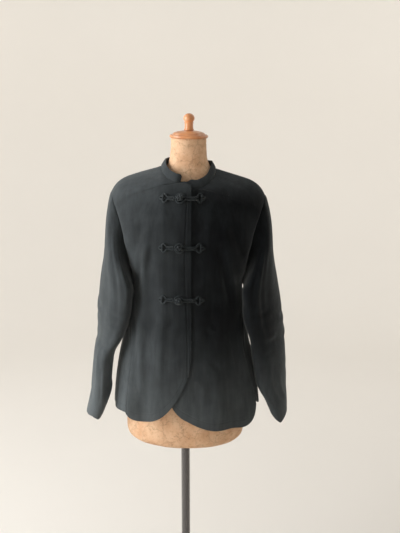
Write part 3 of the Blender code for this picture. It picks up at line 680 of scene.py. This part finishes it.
def hemGap(points):
    # height of each point above its own column's hem
    return points[..., 2] - points[:, :1, 2]


def panelRows(hemRow, startRow, up, upperCount):
    # rows of every column, from its hem past startRow to the shoulder seam
    lower = mix(hemRow, startRow, up[None, :])
    upper = mix(startRow, topRow - jacket["seamRow"], np.linspace(0, 1, upperCount)[1:])
    return np.concatenate([lower, np.broadcast_to(upper, (len(hemRow), len(upper)))], 1)


def closedSeam(heights):
    # 1 where the side seam is sewn and 0 at the open vent
    return ease(jacket["ventTop"] - 0.01, jacket["ventTop"] + 0.01, heights)


def shoulderSeamDent(row):
    # rows are taken to lie 16 mm apart at the shoulder seam
    return 0.0010 * bell((topRow - row) * 0.016, 0.0035)


def frontPanel(name):
    side = -1 if name == "frontRight" else 1
    shape = sides[name]
    girth = shape["frontGirth"]
    across = spread(0.055, 0.0038, 0.0105)
    across = np.unique(np.concatenate([across, 1 - spread(0.05, 0.006, 0.5)[:9]]))
    share = across[:, None]
    rise = cornerRise(share * girth, *shape["corner"])
    rise = rise + cornerRise((1 - share) * girth, *shape["ventCorner"])
    hemRow = rowForHeight(mix(shape["hem"], shape["ventHem"], ease(0.45, 1.0, share)) + rise)
    row = panelRows(hemRow, neckRow, spread(0.05, 0.0022, 0.0078), 44)
    heights = smoothRow(frontRows, row)[..., 2]
    if side < 0:
        edgeX = jacket["edgeTop"] + jacket["edgeSlope"] * (1.40 - heights)
    else:
        edgeX = np.full(row.shape, -jacket["underlap"])
    start = np.where(row <= neckRow, side * angleForX(row, edgeX), 0.0)
    angle = side * mix(start, seamAngle(row, name) - jacket["seamAngle"], share)
    plain = jacketPoint(name, row, angle)
    lift = shape["lift"] * ease(jacket["ventTop"], 0.79, heights) * ease(0.60, 1.0, share)
    pleats = creaseRise(plain[..., 0], plain[..., 2], frontCreases)
    if side > 0:
        # the hidden lap stays flat under the other front
        pleats = pleats * ease(-0.005, 0.03, plain[..., 0])
    else:
        pleats = pleats * ease(0.000, 0.012, share)
    # the mouth of the side pocket gapes a little
    seamGap = (1 - share) * girth
    mouth, reach, gape = jacket["pocketMouth"]
    pocket = bell(heights - mouth, reach) * ease(0.88, 1.0, share)
    lift = lift + pleats + gape * pocket + clothUneven(plain, side + 2)
    edgeGap = share * girth * 1.1
    lift = lift + stitchRow(edgeGap, jacket["edgeStitch"]) * ease(1.385, 1.36, heights)
    lift = lift + stitchRow(hemGap(plain), jacket["hemStitch"], depth=jacket["hemStitchDepth"])
    sewn = closedSeam(heights)
    lift = lift - jacket["seamDent"] * bell(seamGap, 0.0035) * sewn * (1 - pocket)
    lift = lift + stitchRow(seamGap, 0.008) * (1 - sewn)
    lift = lift - shoulderSeamDent(row)
    for height in frogs["heights"].values():
        # each closure pulls the cloth in around itself
        gap = np.hypot((plain[..., 0] - frogs["knotX"]) / 0.9, plain[..., 2] - height)
        depth, reach = frogs["pull"]
        lift = lift - depth * bell(gap, reach)
    edges = 0.35 * bell(edgeGap, 0.004) + 0.30 * bell(hemGap(plain), 0.006)
    edges = edges + 0.35 * bell(seamGap, 0.005) * (1 - sewn + pocket)
    return jacketPoint(name, row, angle, lift), ridgeHighlightAndWear(pleats, edges)


def backPanel():
    halves, wearsAndRidgeHighlights = [], []
    for side, panel in ((-1, "frontRight"), (1, "frontLeft")):
        shape = sides[panel]
        girth = shape["backGirth"]
        across = np.unique(np.concatenate([np.linspace(0, 1, 88), 1 - spread(0.05, 0.005, 0.5)[:9]]))
        share = across[:, None]
        rise = cornerRise((1 - share) * girth, *shape["backCorner"])
        hemRow = rowForHeight(mix(jacket["hemBack"], jacket["hemSide"], share) + rise)
        row = panelRows(hemRow, napeRow, spread(0.05, 0.0024, 0.0085), 26)
        heights = smoothRow(backRows, row)[..., 2]
        under = shape["under"] * ease(0.90, 0.82, heights)
        angle = side * mix(179.999, seamAngle(row, panel) + jacket["seamAngle"] - under, share)
        plain = jacketPoint("back", row, angle)
        pleats = creaseRise(plain[..., 0], plain[..., 2], backCreases) * ease(1.0, 0.86, share)
        seamGap = (1 - share) * girth
        sewn = closedSeam(heights)
        # the pocket's back lip stands out past the front
        mouth, reach, gape = jacket["pocketLip"]
        lip = bell(heights - mouth, reach) * bell(seamGap - 0.007, 0.008)
        lift = pleats + clothUneven(plain, 5) + gape * lip
        lift = lift - jacket["seamDent"] * bell(seamGap, 0.0035) * sewn
        lift = lift + stitchRow(hemGap(plain), jacket["hemStitch"], depth=jacket["hemStitchDepth"])
        lift = lift - shoulderSeamDent(row)
        edges = 0.30 * bell(hemGap(plain), 0.006) + 0.45 * lip
        halves.append(jacketPoint("back", row, angle, lift))
        wearsAndRidgeHighlights.append(ridgeHighlightAndWear(pleats, edges))
    # from the right seam across the centre back to the left seam
    grid = np.concatenate([halves[0][::-1], halves[1][1:]], 0)
    middle = len(halves[0]) - 1
    grid[middle] = (halves[0][0] + halves[1][0]) / 2
    grid[middle, :, 0] = (grid[middle - 1, :, 0] + grid[middle + 1, :, 0]) / 2
    return grid, np.concatenate([wearsAndRidgeHighlights[0][::-1], wearsAndRidgeHighlights[1][1:]], 0)


# Sleeves: level rings below the underarm, hung flat, and a head that curves up to the armhole

sleeves = {
    # height, centre x, y, half length, half thickness, turn of the front end inward
    "right": ((1.100, 0.1925, -0.041, 0.079, 0.0325, 30.0), (1.040, 0.1990, -0.036, 0.076, 0.0320, 30.0),
              (0.985, 0.2105, -0.026, 0.073, 0.0290, 22.0), (0.930, 0.2275, -0.022, 0.069, 0.0275, 9.0),
              (0.850, 0.2355, -0.022, 0.065, 0.0270, 6.0), (0.800, 0.2390, -0.024, 0.061, 0.0290, 6.0),
              (0.752, 0.2520, -0.026, 0.057, 0.0265, 6.0)),
    "left": ((1.100, 0.2020, -0.035, 0.084, 0.0355, 31.0), (1.040, 0.2090, -0.030, 0.082, 0.0380, 34.0),
             (0.985, 0.2227, -0.024, 0.078, 0.0332, 32.0), (0.930, 0.2290, -0.022, 0.074, 0.0360, 30.0),
             (0.850, 0.2395, -0.020, 0.067, 0.0335, 28.0), (0.795, 0.2515, -0.022, 0.061, 0.0310, 13.0),
             (0.748, 0.2610, -0.024, 0.056, 0.0245, 6.0)),
    # how far each hem rises round the cuff: turn, rise
    "hems": {"right": ((0, 0.0020), (66, 0.0065), (106, -0.0035), (140, 0.0130), (180, 0.0290),
                       (270, 0.0230), (325, 0.0080)),
             "left": ((0, 0.0190), (36, 0.0110), (70, -0.0035), (112, 0.0120), (180, 0.0300),
                      (270, 0.0270), (325, 0.0210))},
    "slantTop": 0.88,           # height where that rise begins
    "headSpread": {"right": 0.12, "left": 0.22},     # how far out the sleeve leaves the armhole
    # height, reach, depth, turn where it is deepest
    "crumples": ((1.090, 0.018, 0.0016, 60.0), (1.030, 0.015, 0.0020, 110.0),
                 (0.975, 0.014, 0.0018, 40.0), (0.905, 0.016, 0.0016, 80.0),
                 (0.820, 0.014, 0.0012, 20.0)),
    # where the underarm settles onto the body: height, reach, how far, turn
    "rest": (1.128, 0.020, 0.0035, 150.0),
    "cuffStitch": (0.018, 0.0007),
    "girth": 0.36,              # all round, for the creases
    # creases round the tube in millimetres: (distance round from the outer side towards the
    # front, height), half width, rise
    "rightCreases": (
        (((40, 1300), (44, 1180), (50, 1050), (58, 930)), 7.5, -1.6),
        (((78, 1270), (80, 1180), (83, 1060)), 7.5, 1.8),
        (((18, 1215), (26, 1120), (22, 1010)), 9, 1.2),
        (((20, 1065), (55, 1048), (92, 1056)), 7, -1.4),
        (((30, 1025), (62, 1012), (98, 1020)), 7, 1.2),
        (((4, 975), (40, 962), (80, 968)), 7, -1.3),
        (((40, 945), (55, 890), (60, 820)), 8, 1.6),
        (((78, 910), (84, 850), (82, 785)), 7, -1.4),
        (((10, 880), (20, 830), (18, 780)), 8, 1.2),
        (((190, 1180), (200, 1060), (195, 960)), 10, 2.2),
        (((260, 1230), (268, 1090), (262, 960)), 10, -2.6),
        (((300, 1090), (320, 1055), (350, 1050)), 8.5, 2.4),
        (((285, 990), (310, 965), (340, 972)), 8, -2.2),
        (((290, 900), (296, 840), (290, 785)), 9, 1.8),
    ),
    "leftCreases": (
        (((52, 1290), (52, 1180), (50, 1070), (46, 960)), 6.5, 2.6),
        (((70, 1250), (70, 1140), (66, 1010)), 8, -1.8),
        (((20, 1240), (22, 1140), (16, 1050)), 9, -1.3),
        (((12, 1075), (40, 1062), (74, 1066)), 7, -1.2),
        (((2, 1000), (35, 990), (74, 998)), 7, 1.3),
        (((22, 955), (50, 944), (84, 950)), 7, -1.4),
        (((40, 930), (48, 870), (46, 810)), 8, 1.8),
        (((70, 880), (73, 830), (77, 780)), 7, -1.4),
        (((8, 890), (14, 840), (12, 790)), 7.5, 1.3),
        (((185, 1170), (192, 1050), (200, 950)), 10, -2.2),
        (((250, 1240), (262, 1100), (256, 980)), 10, 2.6),
        (((290, 1070), (315, 1040), (345, 1046)), 8, -2.4),
        (((280, 1010), (305, 985), (335, 980)), 8.5, 2),
        (((300, 890), (292, 830), (298, 780)), 8.5, -1.8),
    ),
}


def armholeLoop(side, count):
    # evenly spaced points: shoulder, front, underarm, back
    panel = "frontRight" if side < 0 else "frontLeft"
    down = jacketPoint(panel, np.linspace(topRow, underarmRow, 121)[:-1], side * 89.999)
    back = jacketPoint("back", np.linspace(underarmRow, topRow, 121)[:-1], side * 90.001)
    return evenPath(np.concatenate([down, back, down[:1]]), count)[0]


def cuffPoint(rows, place, side, turn):
    # turn 0 is the outer side and 90 degrees the front end
    height, centreX, y, long, thick, swing = np.moveaxis(smoothRow(rows, place), -1, 0)
    swing = np.radians(swing)
    for z, reach, depth, deepest in sleeves["crumples"]:
        thick = thick - depth * bell(height - z, reach) * np.cos(turn - math.radians(deepest))
    across, out = long * np.sin(turn), thick * np.cos(turn)
    hem = np.asarray(sleeves["hems"]["right" if side < 0 else "left"], float)
    degrees = np.degrees(turn) + np.linspace(-7, 7, 5).reshape((5,) + (1,) * np.ndim(turn))
    rise = np.interp(degrees, hem[:, 0], hem[:, 1], period=360).mean(axis=0)
    rise = rise * ease(sleeves["slantTop"], rows[-1][0], height)
    return np.stack([side * (centreX - across * np.sin(swing) + out * np.cos(swing)),
                     y - across * np.cos(swing) - out * np.sin(swing), height + rise], -1)


def sleeveTube(which):
    side = -1 if which == "right" else 1
    rows = sleeves[which]
    count, headSteps, tubeSteps = 108, 44, 112
    turn = np.linspace(0, 2 * math.pi, count, endpoint=False)
    loop = armholeLoop(side, count)
    outUnit = unit(np.array([side, 0.0, -0.35]))
    spreadOut = sleeves["headSpread"][which] + 0.30 * np.sin(turn) ** 2 + 0.10 * np.cos(turn)
    leave = np.stack([side * spreadOut, -0.30 * np.sin(turn), np.full(count, -0.90)], -1)
    leave = unit(leave)
    start = loop + outUnit * jacket["seamGap"]
    end = cuffPoint(rows, np.zeros(count), side, turn)
    arrive = unit(cuffPoint(rows, np.full(count, 0.05), side, turn) - end)
    reach = np.linalg.norm(end - start, axis=-1, keepdims=True) * 0.38
    a, b = start + leave * reach, end - arrive * reach
    t = np.linspace(0, 1, headSteps + 1)[None, :, None]
    head = (start[:, None] * (1 - t) ** 3 + 3 * a[:, None] * t * (1 - t) ** 2
            + 3 * b[:, None] * t ** 2 * (1 - t) + end[:, None] * t ** 3)
    place = np.linspace(0, len(rows) - 1, tubeSteps + 1)[1:]
    tube = cuffPoint(rows, np.broadcast_to(place, (count, tubeSteps)), side, turn[:, None])
    grid = np.concatenate([head, tube], 1)
    for _ in range(3):
        # ease the join between the head and the tube
        middle = slice(headSteps - 5, headSteps + 6)
        before = grid[:, headSteps - 6:headSteps + 5]
        after = grid[:, headSteps - 4:headSteps + 7]
        grid[:, middle] = 0.5 * grid[:, middle] + 0.25 * (before + after)
    # under the arm the tube rests against the body
    fromHead = np.linalg.norm(grid - grid[:, :1], axis=-1)
    restHeight, restReach, depth, restTurn = sleeves["rest"]
    rest = depth * bell(grid[..., 2] - restHeight, restReach) * ease(0.002, 0.012, fromHead)
    inner = np.clip(np.cos(turn - math.radians(restTurn)), 0, 1)[:, None]
    grid[..., 0] = grid[..., 0] - side * rest * inner
    turns = np.roll(grid, -1, 0) - np.roll(grid, 1, 0)
    rise = np.gradient(grid, axis=1)
    normal = unit(np.cross(rise, turns)) * side
    centre = grid.mean(axis=0, keepdims=True)
    normal = normal * np.sign(((grid - centre) * normal).sum(-1, keepdims=True).mean())
    girth = sleeves["girth"]
    u = np.broadcast_to((turn / (2 * math.pi) * girth)[:, None], grid.shape[:2])
    pleats = creaseRise(u, grid[..., 2], sleeves[which + "Creases"], fold=girth)
    fromCuff = grid[..., 2] - grid[:, -1:, 2]
    eased = 0.0006 * np.sin(turn * 17 + 1.1)[:, None] * bell(fromHead - 0.012, 0.012)
    lift = pleats * ease(0.0, 0.03, fromHead) + clothUneven(grid, side + 9)
    lift = lift - 0.0012 * bell(fromHead, 0.004) + eased * (np.cos(turn)[:, None] * 0.5 + 0.5)
    stitchAt, stitchDepth = sleeves["cuffStitch"]
    lift = lift + stitchRow(fromCuff, stitchAt, depth=stitchDepth)
    wear = ridgeHighlightAndWear(pleats, 0.35 * bell(fromCuff, 0.006) + 0.25 * bell(fromHead - 0.003, 0.004))
    return grid + normal * lift[..., None], wear


# Collar: a low stand that leans in

collar = {
    "inward": (0.0110, 0.0120, 0.0080),     # front, side, back
    "rise": (0.0215, 0.0205, 0.0330),
    "endBack": 0.018,
    "under": 0.027,
    "corner": 0.007,                        # rounded corner at the right end
    "tuckIn": 0.0040,
    "tuckDown": 0.0035,
}


def collarBand():
    rows = np.linspace(neckRow, topRow, 49)
    rightFront = jacketPoint("frontRight", rows, -0.001)
    keep = rightFront[:, 0] < -collar["endBack"]
    backRowsHere = np.linspace(napeRow, topRow, 37)
    rightBack = jacketPoint("back", backRowsHere[::-1], -179.999)[1:]
    leftBack = jacketPoint("back", backRowsHere, 179.999)[1:]
    leftFront = jacketPoint("frontLeft", rows[::-1], 0.001)[1:]
    last = leftFront[-1] + np.array([-collar["under"] - leftFront[-1, 0], 0.0030, 0.0010])
    path = np.concatenate([rightFront[keep], rightBack, leftBack, leftFront, last[None]])
    around = np.concatenate([np.linspace(0, 0.5, 49)[keep], np.linspace(0.5, 1, 37)[1:],
                             np.linspace(1, 0.5, 37)[1:], np.linspace(0.5, 0, 49)[1:], [0.0]])
    columns = 190
    foot, want, lengths = evenPath(path, columns, endpoint=True)
    for _ in range(6):
        foot[1:-1] = 0.5 * foot[1:-1] + 0.25 * (foot[:-2] + foot[2:])
    where = np.interp(want, lengths, around)
    stand = smoothRow(np.stack([collar["inward"], collar["rise"]], -1), 2 * where)
    axis = unit(np.stack([-foot[:, 0], -0.012 - foot[:, 1], np.zeros(columns)], -1))
    foot = foot + axis * 0.0004 + np.array([0, 0, 0.0006])
    inward, rise = stand[:, 0:1], stand[:, 1:2]
    # both ends round off at the top
    fromEnd = np.minimum(want, lengths[-1] - want)
    rise = rise * (1 - cornerRise(fromEnd, collar["corner"], 0.28))[:, None]
    up = np.linspace(0, 1, 15)
    lean = axis * inward + np.array([0, 0, 1.0]) * rise
    grid = foot[:, None] + lean[:, None] * up[None, :, None]
    # the band bellies out, and its foot tucks into the seam
    belly = 0.0011 * np.sin(math.pi * up) - 0.0008 * bell(up, 0.10)
    wave = 0.0006 * np.sin(want * 95 + 0.6) + 0.0005 * np.sin(want * 41)
    grid = grid - axis[:, None] * (belly[None, :] + wave[:, None] * up[None, :])[..., None]
    wear = np.clip(0.55 * bell(1 - up, 0.12), 0, 1) * np.ones((columns, 1))
    # the seam's turned-in edge, hidden under the shoulder cloth
    tuck = foot + axis * collar["tuckIn"] + np.array([0, 0, -collar["tuckDown"]])
    grid = np.concatenate([tuck[:, None], (tuck[:, None] + 2 * grid[:, :1]) / 3, grid], 1)
    return grid, np.concatenate([np.zeros((columns, 2)), wear], 1)


# Closures: a knotted button, a doubled cord on each side, all in velvet cord

frogs = {
    "heights": {"top": 1.368, "middle": 1.247, "low": 1.110},
    "pull": (0.0006, 0.022),    # how deep and how far round a knot the cloth is drawn in
    "knotX": -0.019,
    "knotRadius": 0.0095,
    "cord": 0.0024,             # radius
    "squash": 0.86,             # a sewn cord flattens a little
    "clear": 0.0006,
    "core": 0.0058,
    "rubbed": 0.45,
}


def frontSpot(panel, x, height, lift):
    # point on a front at an x and a height, lifted off its outer face
    drop = 0.0 if panel == "frontRight" else 0.016
    rows = np.linspace(2.0, neckRow, 260)
    heights = plainPoint(rows, angleForX(rows, np.full(260, x)))[:, 2] - drop
    row = np.interp(height, heights, rows)
    angle = angleForX(np.array([row]), np.array([x]))
    return jacketPoint(panel, np.array([row]), angle, jacket["cloth"] / 2 + lift)[0]


def cordSpot(x, height, lift):
    over = frontSpot("frontRight", x, height, lift)
    if x < jacket["edgeTop"]:
        return over
    under = frontSpot("frontLeft", x, height, lift)
    return mix(over, under, float(ease(0.016, 0.028, x)))


def arcPoints(centreX, centreZ, radiusX, radiusZ, start, end, count):
    angles = np.radians(np.linspace(start, end, count))
    return [(centreX + radiusX * math.cos(a), centreZ + radiusZ * math.sin(a)) for a in angles]


def sweepCord(name, points, flat, up, radii, sides):
    # a closed cord whose section lies between two directions at each point
    angles = np.linspace(0, 2 * math.pi, sides, endpoint=False)[None, :, None]
    ring = flat[:, None] * np.cos(angles) + up[:, None] * np.sin(angles)
    grid = (points[:, None] + ring * radii).transpose(1, 0, 2)
    grid = np.concatenate([grid, grid[:, :1]], 1)
    piece = meshObject(name, grid.reshape(-1, 3), gridFaces(sides, grid.shape[1], wrap=True))
    return markWornAndRidgeHighlight(cleanMesh(piece, weld=0.000005), frogs["rubbed"])


def smoothClosed(points, count):
    # evenly spaced points on a smooth closed curve through given ones
    looped = np.concatenate([points[-2:], points, points[:3]])
    fine = smoothRow(looped, np.linspace(2, len(points) + 2, 40 * len(points)))
    return evenPath(fine, count)[0]


def layCord(name, route, height, count):
    path = smoothClosed(metres(route), count)
    lift = frogs["cord"] * frogs["squash"] + frogs["clear"]
    points = np.array([cordSpot(frogs["knotX"] + x, height + z, lift + over) for x, z, over in path])
    ahead = unit(np.roll(points, -1, 0) - np.roll(points, 1, 0))
    flat = unit(np.cross(ahead, np.array([0.0, -1.0, 0.0])) + 1e-9)
    radii = frogs["cord"] * (1 + 0.06 * np.sin(np.arange(count) * 1.9))[:, None, None]
    return sweepCord(name, points, flat, np.cross(flat, ahead) * frogs["squash"], radii, 12)


def mirrored(points):
    return tuple((x, -z, over) for x, z, over in reversed(points))


# Cord routes, in millimetres: x from the knot, height from the knot, rise over a crossing
tailSide = ((-15, 2.6, 0), (-21, 2.7, 0), (-27, 2.6, 0), (-32, 3.4, 0), (-34.5, 7.2, 0),
            (-39, 10, 0), (-43.2, 7, 0), (-42, 2.6, 2), (-46.6, 3.4, 0))
tailRoute = tailSide + ((-50.5, 0, 0),) + mirrored(tailSide)
knotSide = ((9.4, 5.6, 0), (5, 9.8, 0), (-2, 10.6, 0), (-8.5, 6.6, 0))
loopSide = ((59, 3.6, 0), (54, 2.8, 2), (55, 7.6, 0), (50.5, 10.6, 0), (46.2, 8, 0), (44, 4, 0),
            (39, 2.7, 0), (31, 2.6, 0), (22, 2.6, 0), (14, 2.8, 0))
loopRoute = (knotSide + ((-10.4, 0, 0),) + mirrored(knotSide) + mirrored(loopSide)
             + ((63.2, 0, 0),) + loopSide)


def buttonKnot(name, height, seed):
    # A knotted cord ball: three leads and four bights woven over and under round a small core
    centre = frontSpot("frontRight", frogs["knotX"], height, frogs["knotRadius"] + 0.0009)
    turn = np.linspace(0, 6 * math.pi, 190, endpoint=False)
    tilt = math.radians(60) * np.cos(4 * turn / 3)
    reach = 0.0061 + 0.0011 * np.sin(8 * turn / 3)
    lead = np.stack([reach * np.cos(tilt) * np.cos(turn), reach * np.sin(tilt),
                     reach * np.cos(tilt) * np.sin(turn)], -1)
    spin = Matrix.Rotation(0.5 + 0.9 * seed, 3, "Y") @ Matrix.Rotation(0.35, 3, "X")
    points = lead @ np.array(spin).T
    ahead, out = unit(np.roll(points, -1, 0) - np.roll(points, 1, 0)), unit(points)
    piece = sweepCord(name, points + centre, np.cross(ahead, out), out, frogs["cord"], 10)
    core = bmesh.new()
    core.from_mesh(piece.data)
    middle = leanMatrix @ Vector(centre)
    bmesh.ops.create_icosphere(core, subdivisions=3, radius=frogs["core"],
                               matrix=Matrix.Translation(middle))
    for vertex in core.verts:
        gap = vertex.co - middle
        if abs(gap.length - frogs["core"]) < 1e-6:
            vertex.co += gap.normalized() * 0.0004 * noise.noise(vertex.co * 300)
    core.to_mesh(piece.data)
    core.free()
    piece.data.shade_smooth()
    return piece


# Dress form, cap, knob, pole and base

form = {
    # in millimetres: height in the middle, at the sides, half width, front, back
    "rings": (
        (672, 672, 138, 88, 82), (677, 677, 152, 101, 94),
        (692, 692, 163, 111, 103), (725, 725, 166.5, 115, 107),
        (800, 800, 162, 113, 106), (900, 900, 141, 98, 92),
        (990, 990, 120, 86, 79), (1050, 1050, 115, 86, 76),
        (1120, 1120, 123, 97, 82), (1190, 1190, 135, 114, 90),
        (1250, 1255, 144, 117, 94), (1310, 1320, 150, 102, 90),
        (1350, 1370, 152, 85, 79), (1378, 1398, 134, 69, 66),
        (1399, 1417, 102, 57, 56), (1416, 1426, 77, 51, 50),
        (1436, 1439, 61, 49, 46.5), (1462, 1462, 50.5, 47.5, 45),
        (1488, 1488, 46.8, 46.5, 44.5), (1515.7, 1515.7, 46.5, 46.5, 44.5)),
    "power": 2.1,
}


def dressForm():
    rows = metres(form["rings"])
    place = np.concatenate([np.linspace(0, 3, 22), np.linspace(3, 14, 90)[1:],
                            np.linspace(14, len(rows) - 1, 60)[1:]])
    values = smoothRow(rows, place)
    count = 150
    turn = np.linspace(0, 2 * math.pi, count, endpoint=False)[:, None]
    s, c = np.sin(turn), np.cos(turn)
    x = values[:, 2] * np.sign(s) * np.abs(s) ** (2 / form["power"])
    depth = np.where(c > 0, values[:, 3], values[:, 4])
    y = -depth * np.sign(c) * np.abs(c) ** (2 / form["power"])
    z = mix(values[:, 0], values[:, 1], s ** 2)
    grid = np.stack([x, y, z], -1)
    rise = np.gradient(grid, axis=1)
    around = np.roll(grid, -1, 0) - np.roll(grid, 1, 0)
    normal = unit(np.cross(around, rise) + 1e-12)
    normal = normal * np.sign((normal[..., :2] * grid[..., :2]).sum(-1, keepdims=True).mean())
    # glued sheets leave the shell a little uneven, with a few edges that show
    lift = 0.0007 * cloudNoise(grid, 0.05, 1) + 0.0004 * cloudNoise(grid, 0.014, 2)
    sheets = cloudNoise(grid * np.array([1, 1, 0.7]), 0.035, 4)
    lift = lift + 0.0005 * np.tanh(sheets * 9)
    lift = lift - 0.0009 * bell(grid[..., 2] - 1.5035, 0.0016)
    lift = lift * ease(0.0, 0.004, np.minimum(z - 0.672, 1.5157 - z))
    piece = meshObject("dressForm", (grid + normal * lift[..., None]).reshape(-1, 3),
                       gridFaces(count, len(place), wrap=True))
    cleanMesh(piece, fill=True)
    piece.data.set_sharp_from_angle(angle=math.radians(60))
    return piece


stand = {
    "baseRadius": 0.205, "baseEdge": 0.012, "hubRadius": 0.024, "hubHeight": 0.046,
    "poleRadius": 0.0125, "poleTop": 0.6714, "gap": 0.0003,
    "capBottom": 1.5160, "capRadius": 0.051, "capHeight": 0.020,
    "knobRadius": 0.0148, "knobHeight": 0.0437,
}


def baseProfile():
    edge, hub, top = stand["baseRadius"], stand["hubRadius"], stand["hubHeight"]
    points = [(0.0, 0.0), (edge - 0.012, 0.0), (edge - 0.006, 0.0)]
    points += arcPoints(edge - 0.006, 0.006, 0.006, 0.006, -80, 75, 12)
    # a turned bead inside the rim, then the long slope up to the hub
    points += arcPoints(edge - 0.020, 0.0112, 0.0045, 0.0020, 10, 170, 9)
    points += [(edge - 0.030, 0.0122), (0.150, 0.0150), (0.110, 0.0186), (0.075, 0.0222),
               (0.050, 0.0245)]
    points += arcPoints(hub + 0.008, 0.0322, 0.008, 0.0070, -90, -170, 8)
    points += [(hub, 0.036)]
    points += arcPoints(hub - 0.003, top - 0.003, 0.003, 0.003, 0, 90, 8)
    return points + [(stand["poleRadius"] + 0.004, top), (0.0, top)]


def poleProfile():
    r, top = stand["poleRadius"], stand["poleTop"]
    low = stand["hubHeight"] + stand["gap"]
    return ([(0.0, low)] + arcPoints(r - 0.0015, low + 0.0015, 0.0015, 0.0015, -90, 0, 6)
            + [(r, mix(low, top, k / 12)) for k in range(1, 12)]
            + arcPoints(r - 0.0015, top - 0.0015, 0.0015, 0.0015, 0, 90, 6) + [(0.0, top)])


def capProfile():
    r, top = stand["capRadius"], stand["capHeight"]
    points = [(0.0, 0.0), (r - 0.012, 0.0), (r - 0.006, 0.0)]
    points += arcPoints(r - 0.004, 0.0045, 0.004, 0.0045, -80, 80, 12)
    # a cut step, then the dome
    points += [(r - 0.0052, 0.0091), (r - 0.0062, 0.0087), (r - 0.0072, 0.0092)]
    points += arcPoints(0.0, 0.0098, r - 0.0080, top - 0.0098, 3, 86, 22)
    return points + [(0.0, top)]


def knobProfile():
    r, top = stand["knobRadius"], stand["knobHeight"]
    points = [(0.0, 0.0), (0.0128, 0.0), (0.0132, 0.0012), (0.0124, 0.0026), (0.0116, 0.0050),
              (0.0110, 0.0100), (0.0110, 0.0145), (0.0114, 0.0180), (0.0121, 0.0205)]
    return points + arcPoints(0.0, top - 0.013, r, 0.013, -42, 87, 24) + [(0.0, top)]


# Putting it together

def placePiece(piece, material, slot, *nodes):
    piece.data.materials.clear()
    piece.data.materials.append(material)
    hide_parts(*nodes)
    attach(piece, "root")
    return piece


def buildStand():
    lacquer, iron = paintedMetal("glossLacqueredSteel"), paintedMetal("satinPaintedIron")
    wood = varnishedBeech("varnishedBeech", woodLook)
    linen = agedLinenPaper("agedLinenPaper", linenLook)
    placePiece(turnedPiece("standBase", baseProfile(), 128), iron, "base_iron", "stand_base")
    placePiece(turnedPiece("standPole", poleProfile(), 48), lacquer, "pole_steel", "pole")
    placePiece(dressForm(), linen, "form_linen", "form_body")
    cap = turnedPiece("turnedCap", capProfile(), 112, lean=True, height=stand["capBottom"])
    placePiece(cap, wood, "cap_wood", "neck_cap")
    knobBottom = stand["capBottom"] + stand["capHeight"] + stand["gap"]
    knob = turnedPiece("turnedKnob", knobProfile(), 64, lean=True, height=knobBottom)
    placePiece(knob, wood, "cap_wood", "cap_knob")
    for piece in (cap, knob):
        piece.data.set_sharp_from_angle(angle=math.radians(50))
    print("stand and form done")


def buildJacket():
    velvet = cottonVelvet("cottonVelvet", velvetLook)
    made = {}
    for name, node in (("frontRight", "front_right"), ("frontLeft", "front_left")):
        piece = clothPiece(name, *frontPanel(name), flip=name == "frontLeft")
        made[name] = (piece, node)
    made["backPanel"] = (clothPiece("backPanel", *backPanel()), "back")
    for which in ("right", "left"):
        name = "sleeve" + which.capitalize()
        made[name] = (clothPiece(name, *sleeveTube(which), wrap=True), "sleeve_" + which)
    made["collarBand"] = (clothPiece("collarBand", *collarBand()), "collar")
    for name, (piece, node) in made.items():
        placePiece(piece, velvet, "velvet", node)
    print("jacket done")


def buildFrogs():
    cordLook = dict(velvetLook, deep="#121416", rubbed="#2e3335", pileMm=0.9, brushedMm=12)
    cordVelvet = cottonVelvet("velvetCord", cordLook)
    for k, (name, height) in enumerate(frogs["heights"].items()):
        pieces = ((buttonKnot("frogKnot." + name, height, k), f"frog_{name}_knot"),
                  (layCord("frogTail." + name, tailRoute, height, 190), f"frog_{name}_tail"),
                  (layCord("frogLoop." + name, loopRoute, height, 260), f"frog_{name}_loop"))
        for piece, node in pieces:
            placePiece(piece, cordVelvet, "frog_cord", node)
    print("closures done")


makeStudio()
print("studio done")
buildStand()
buildJacket()
buildFrogs()
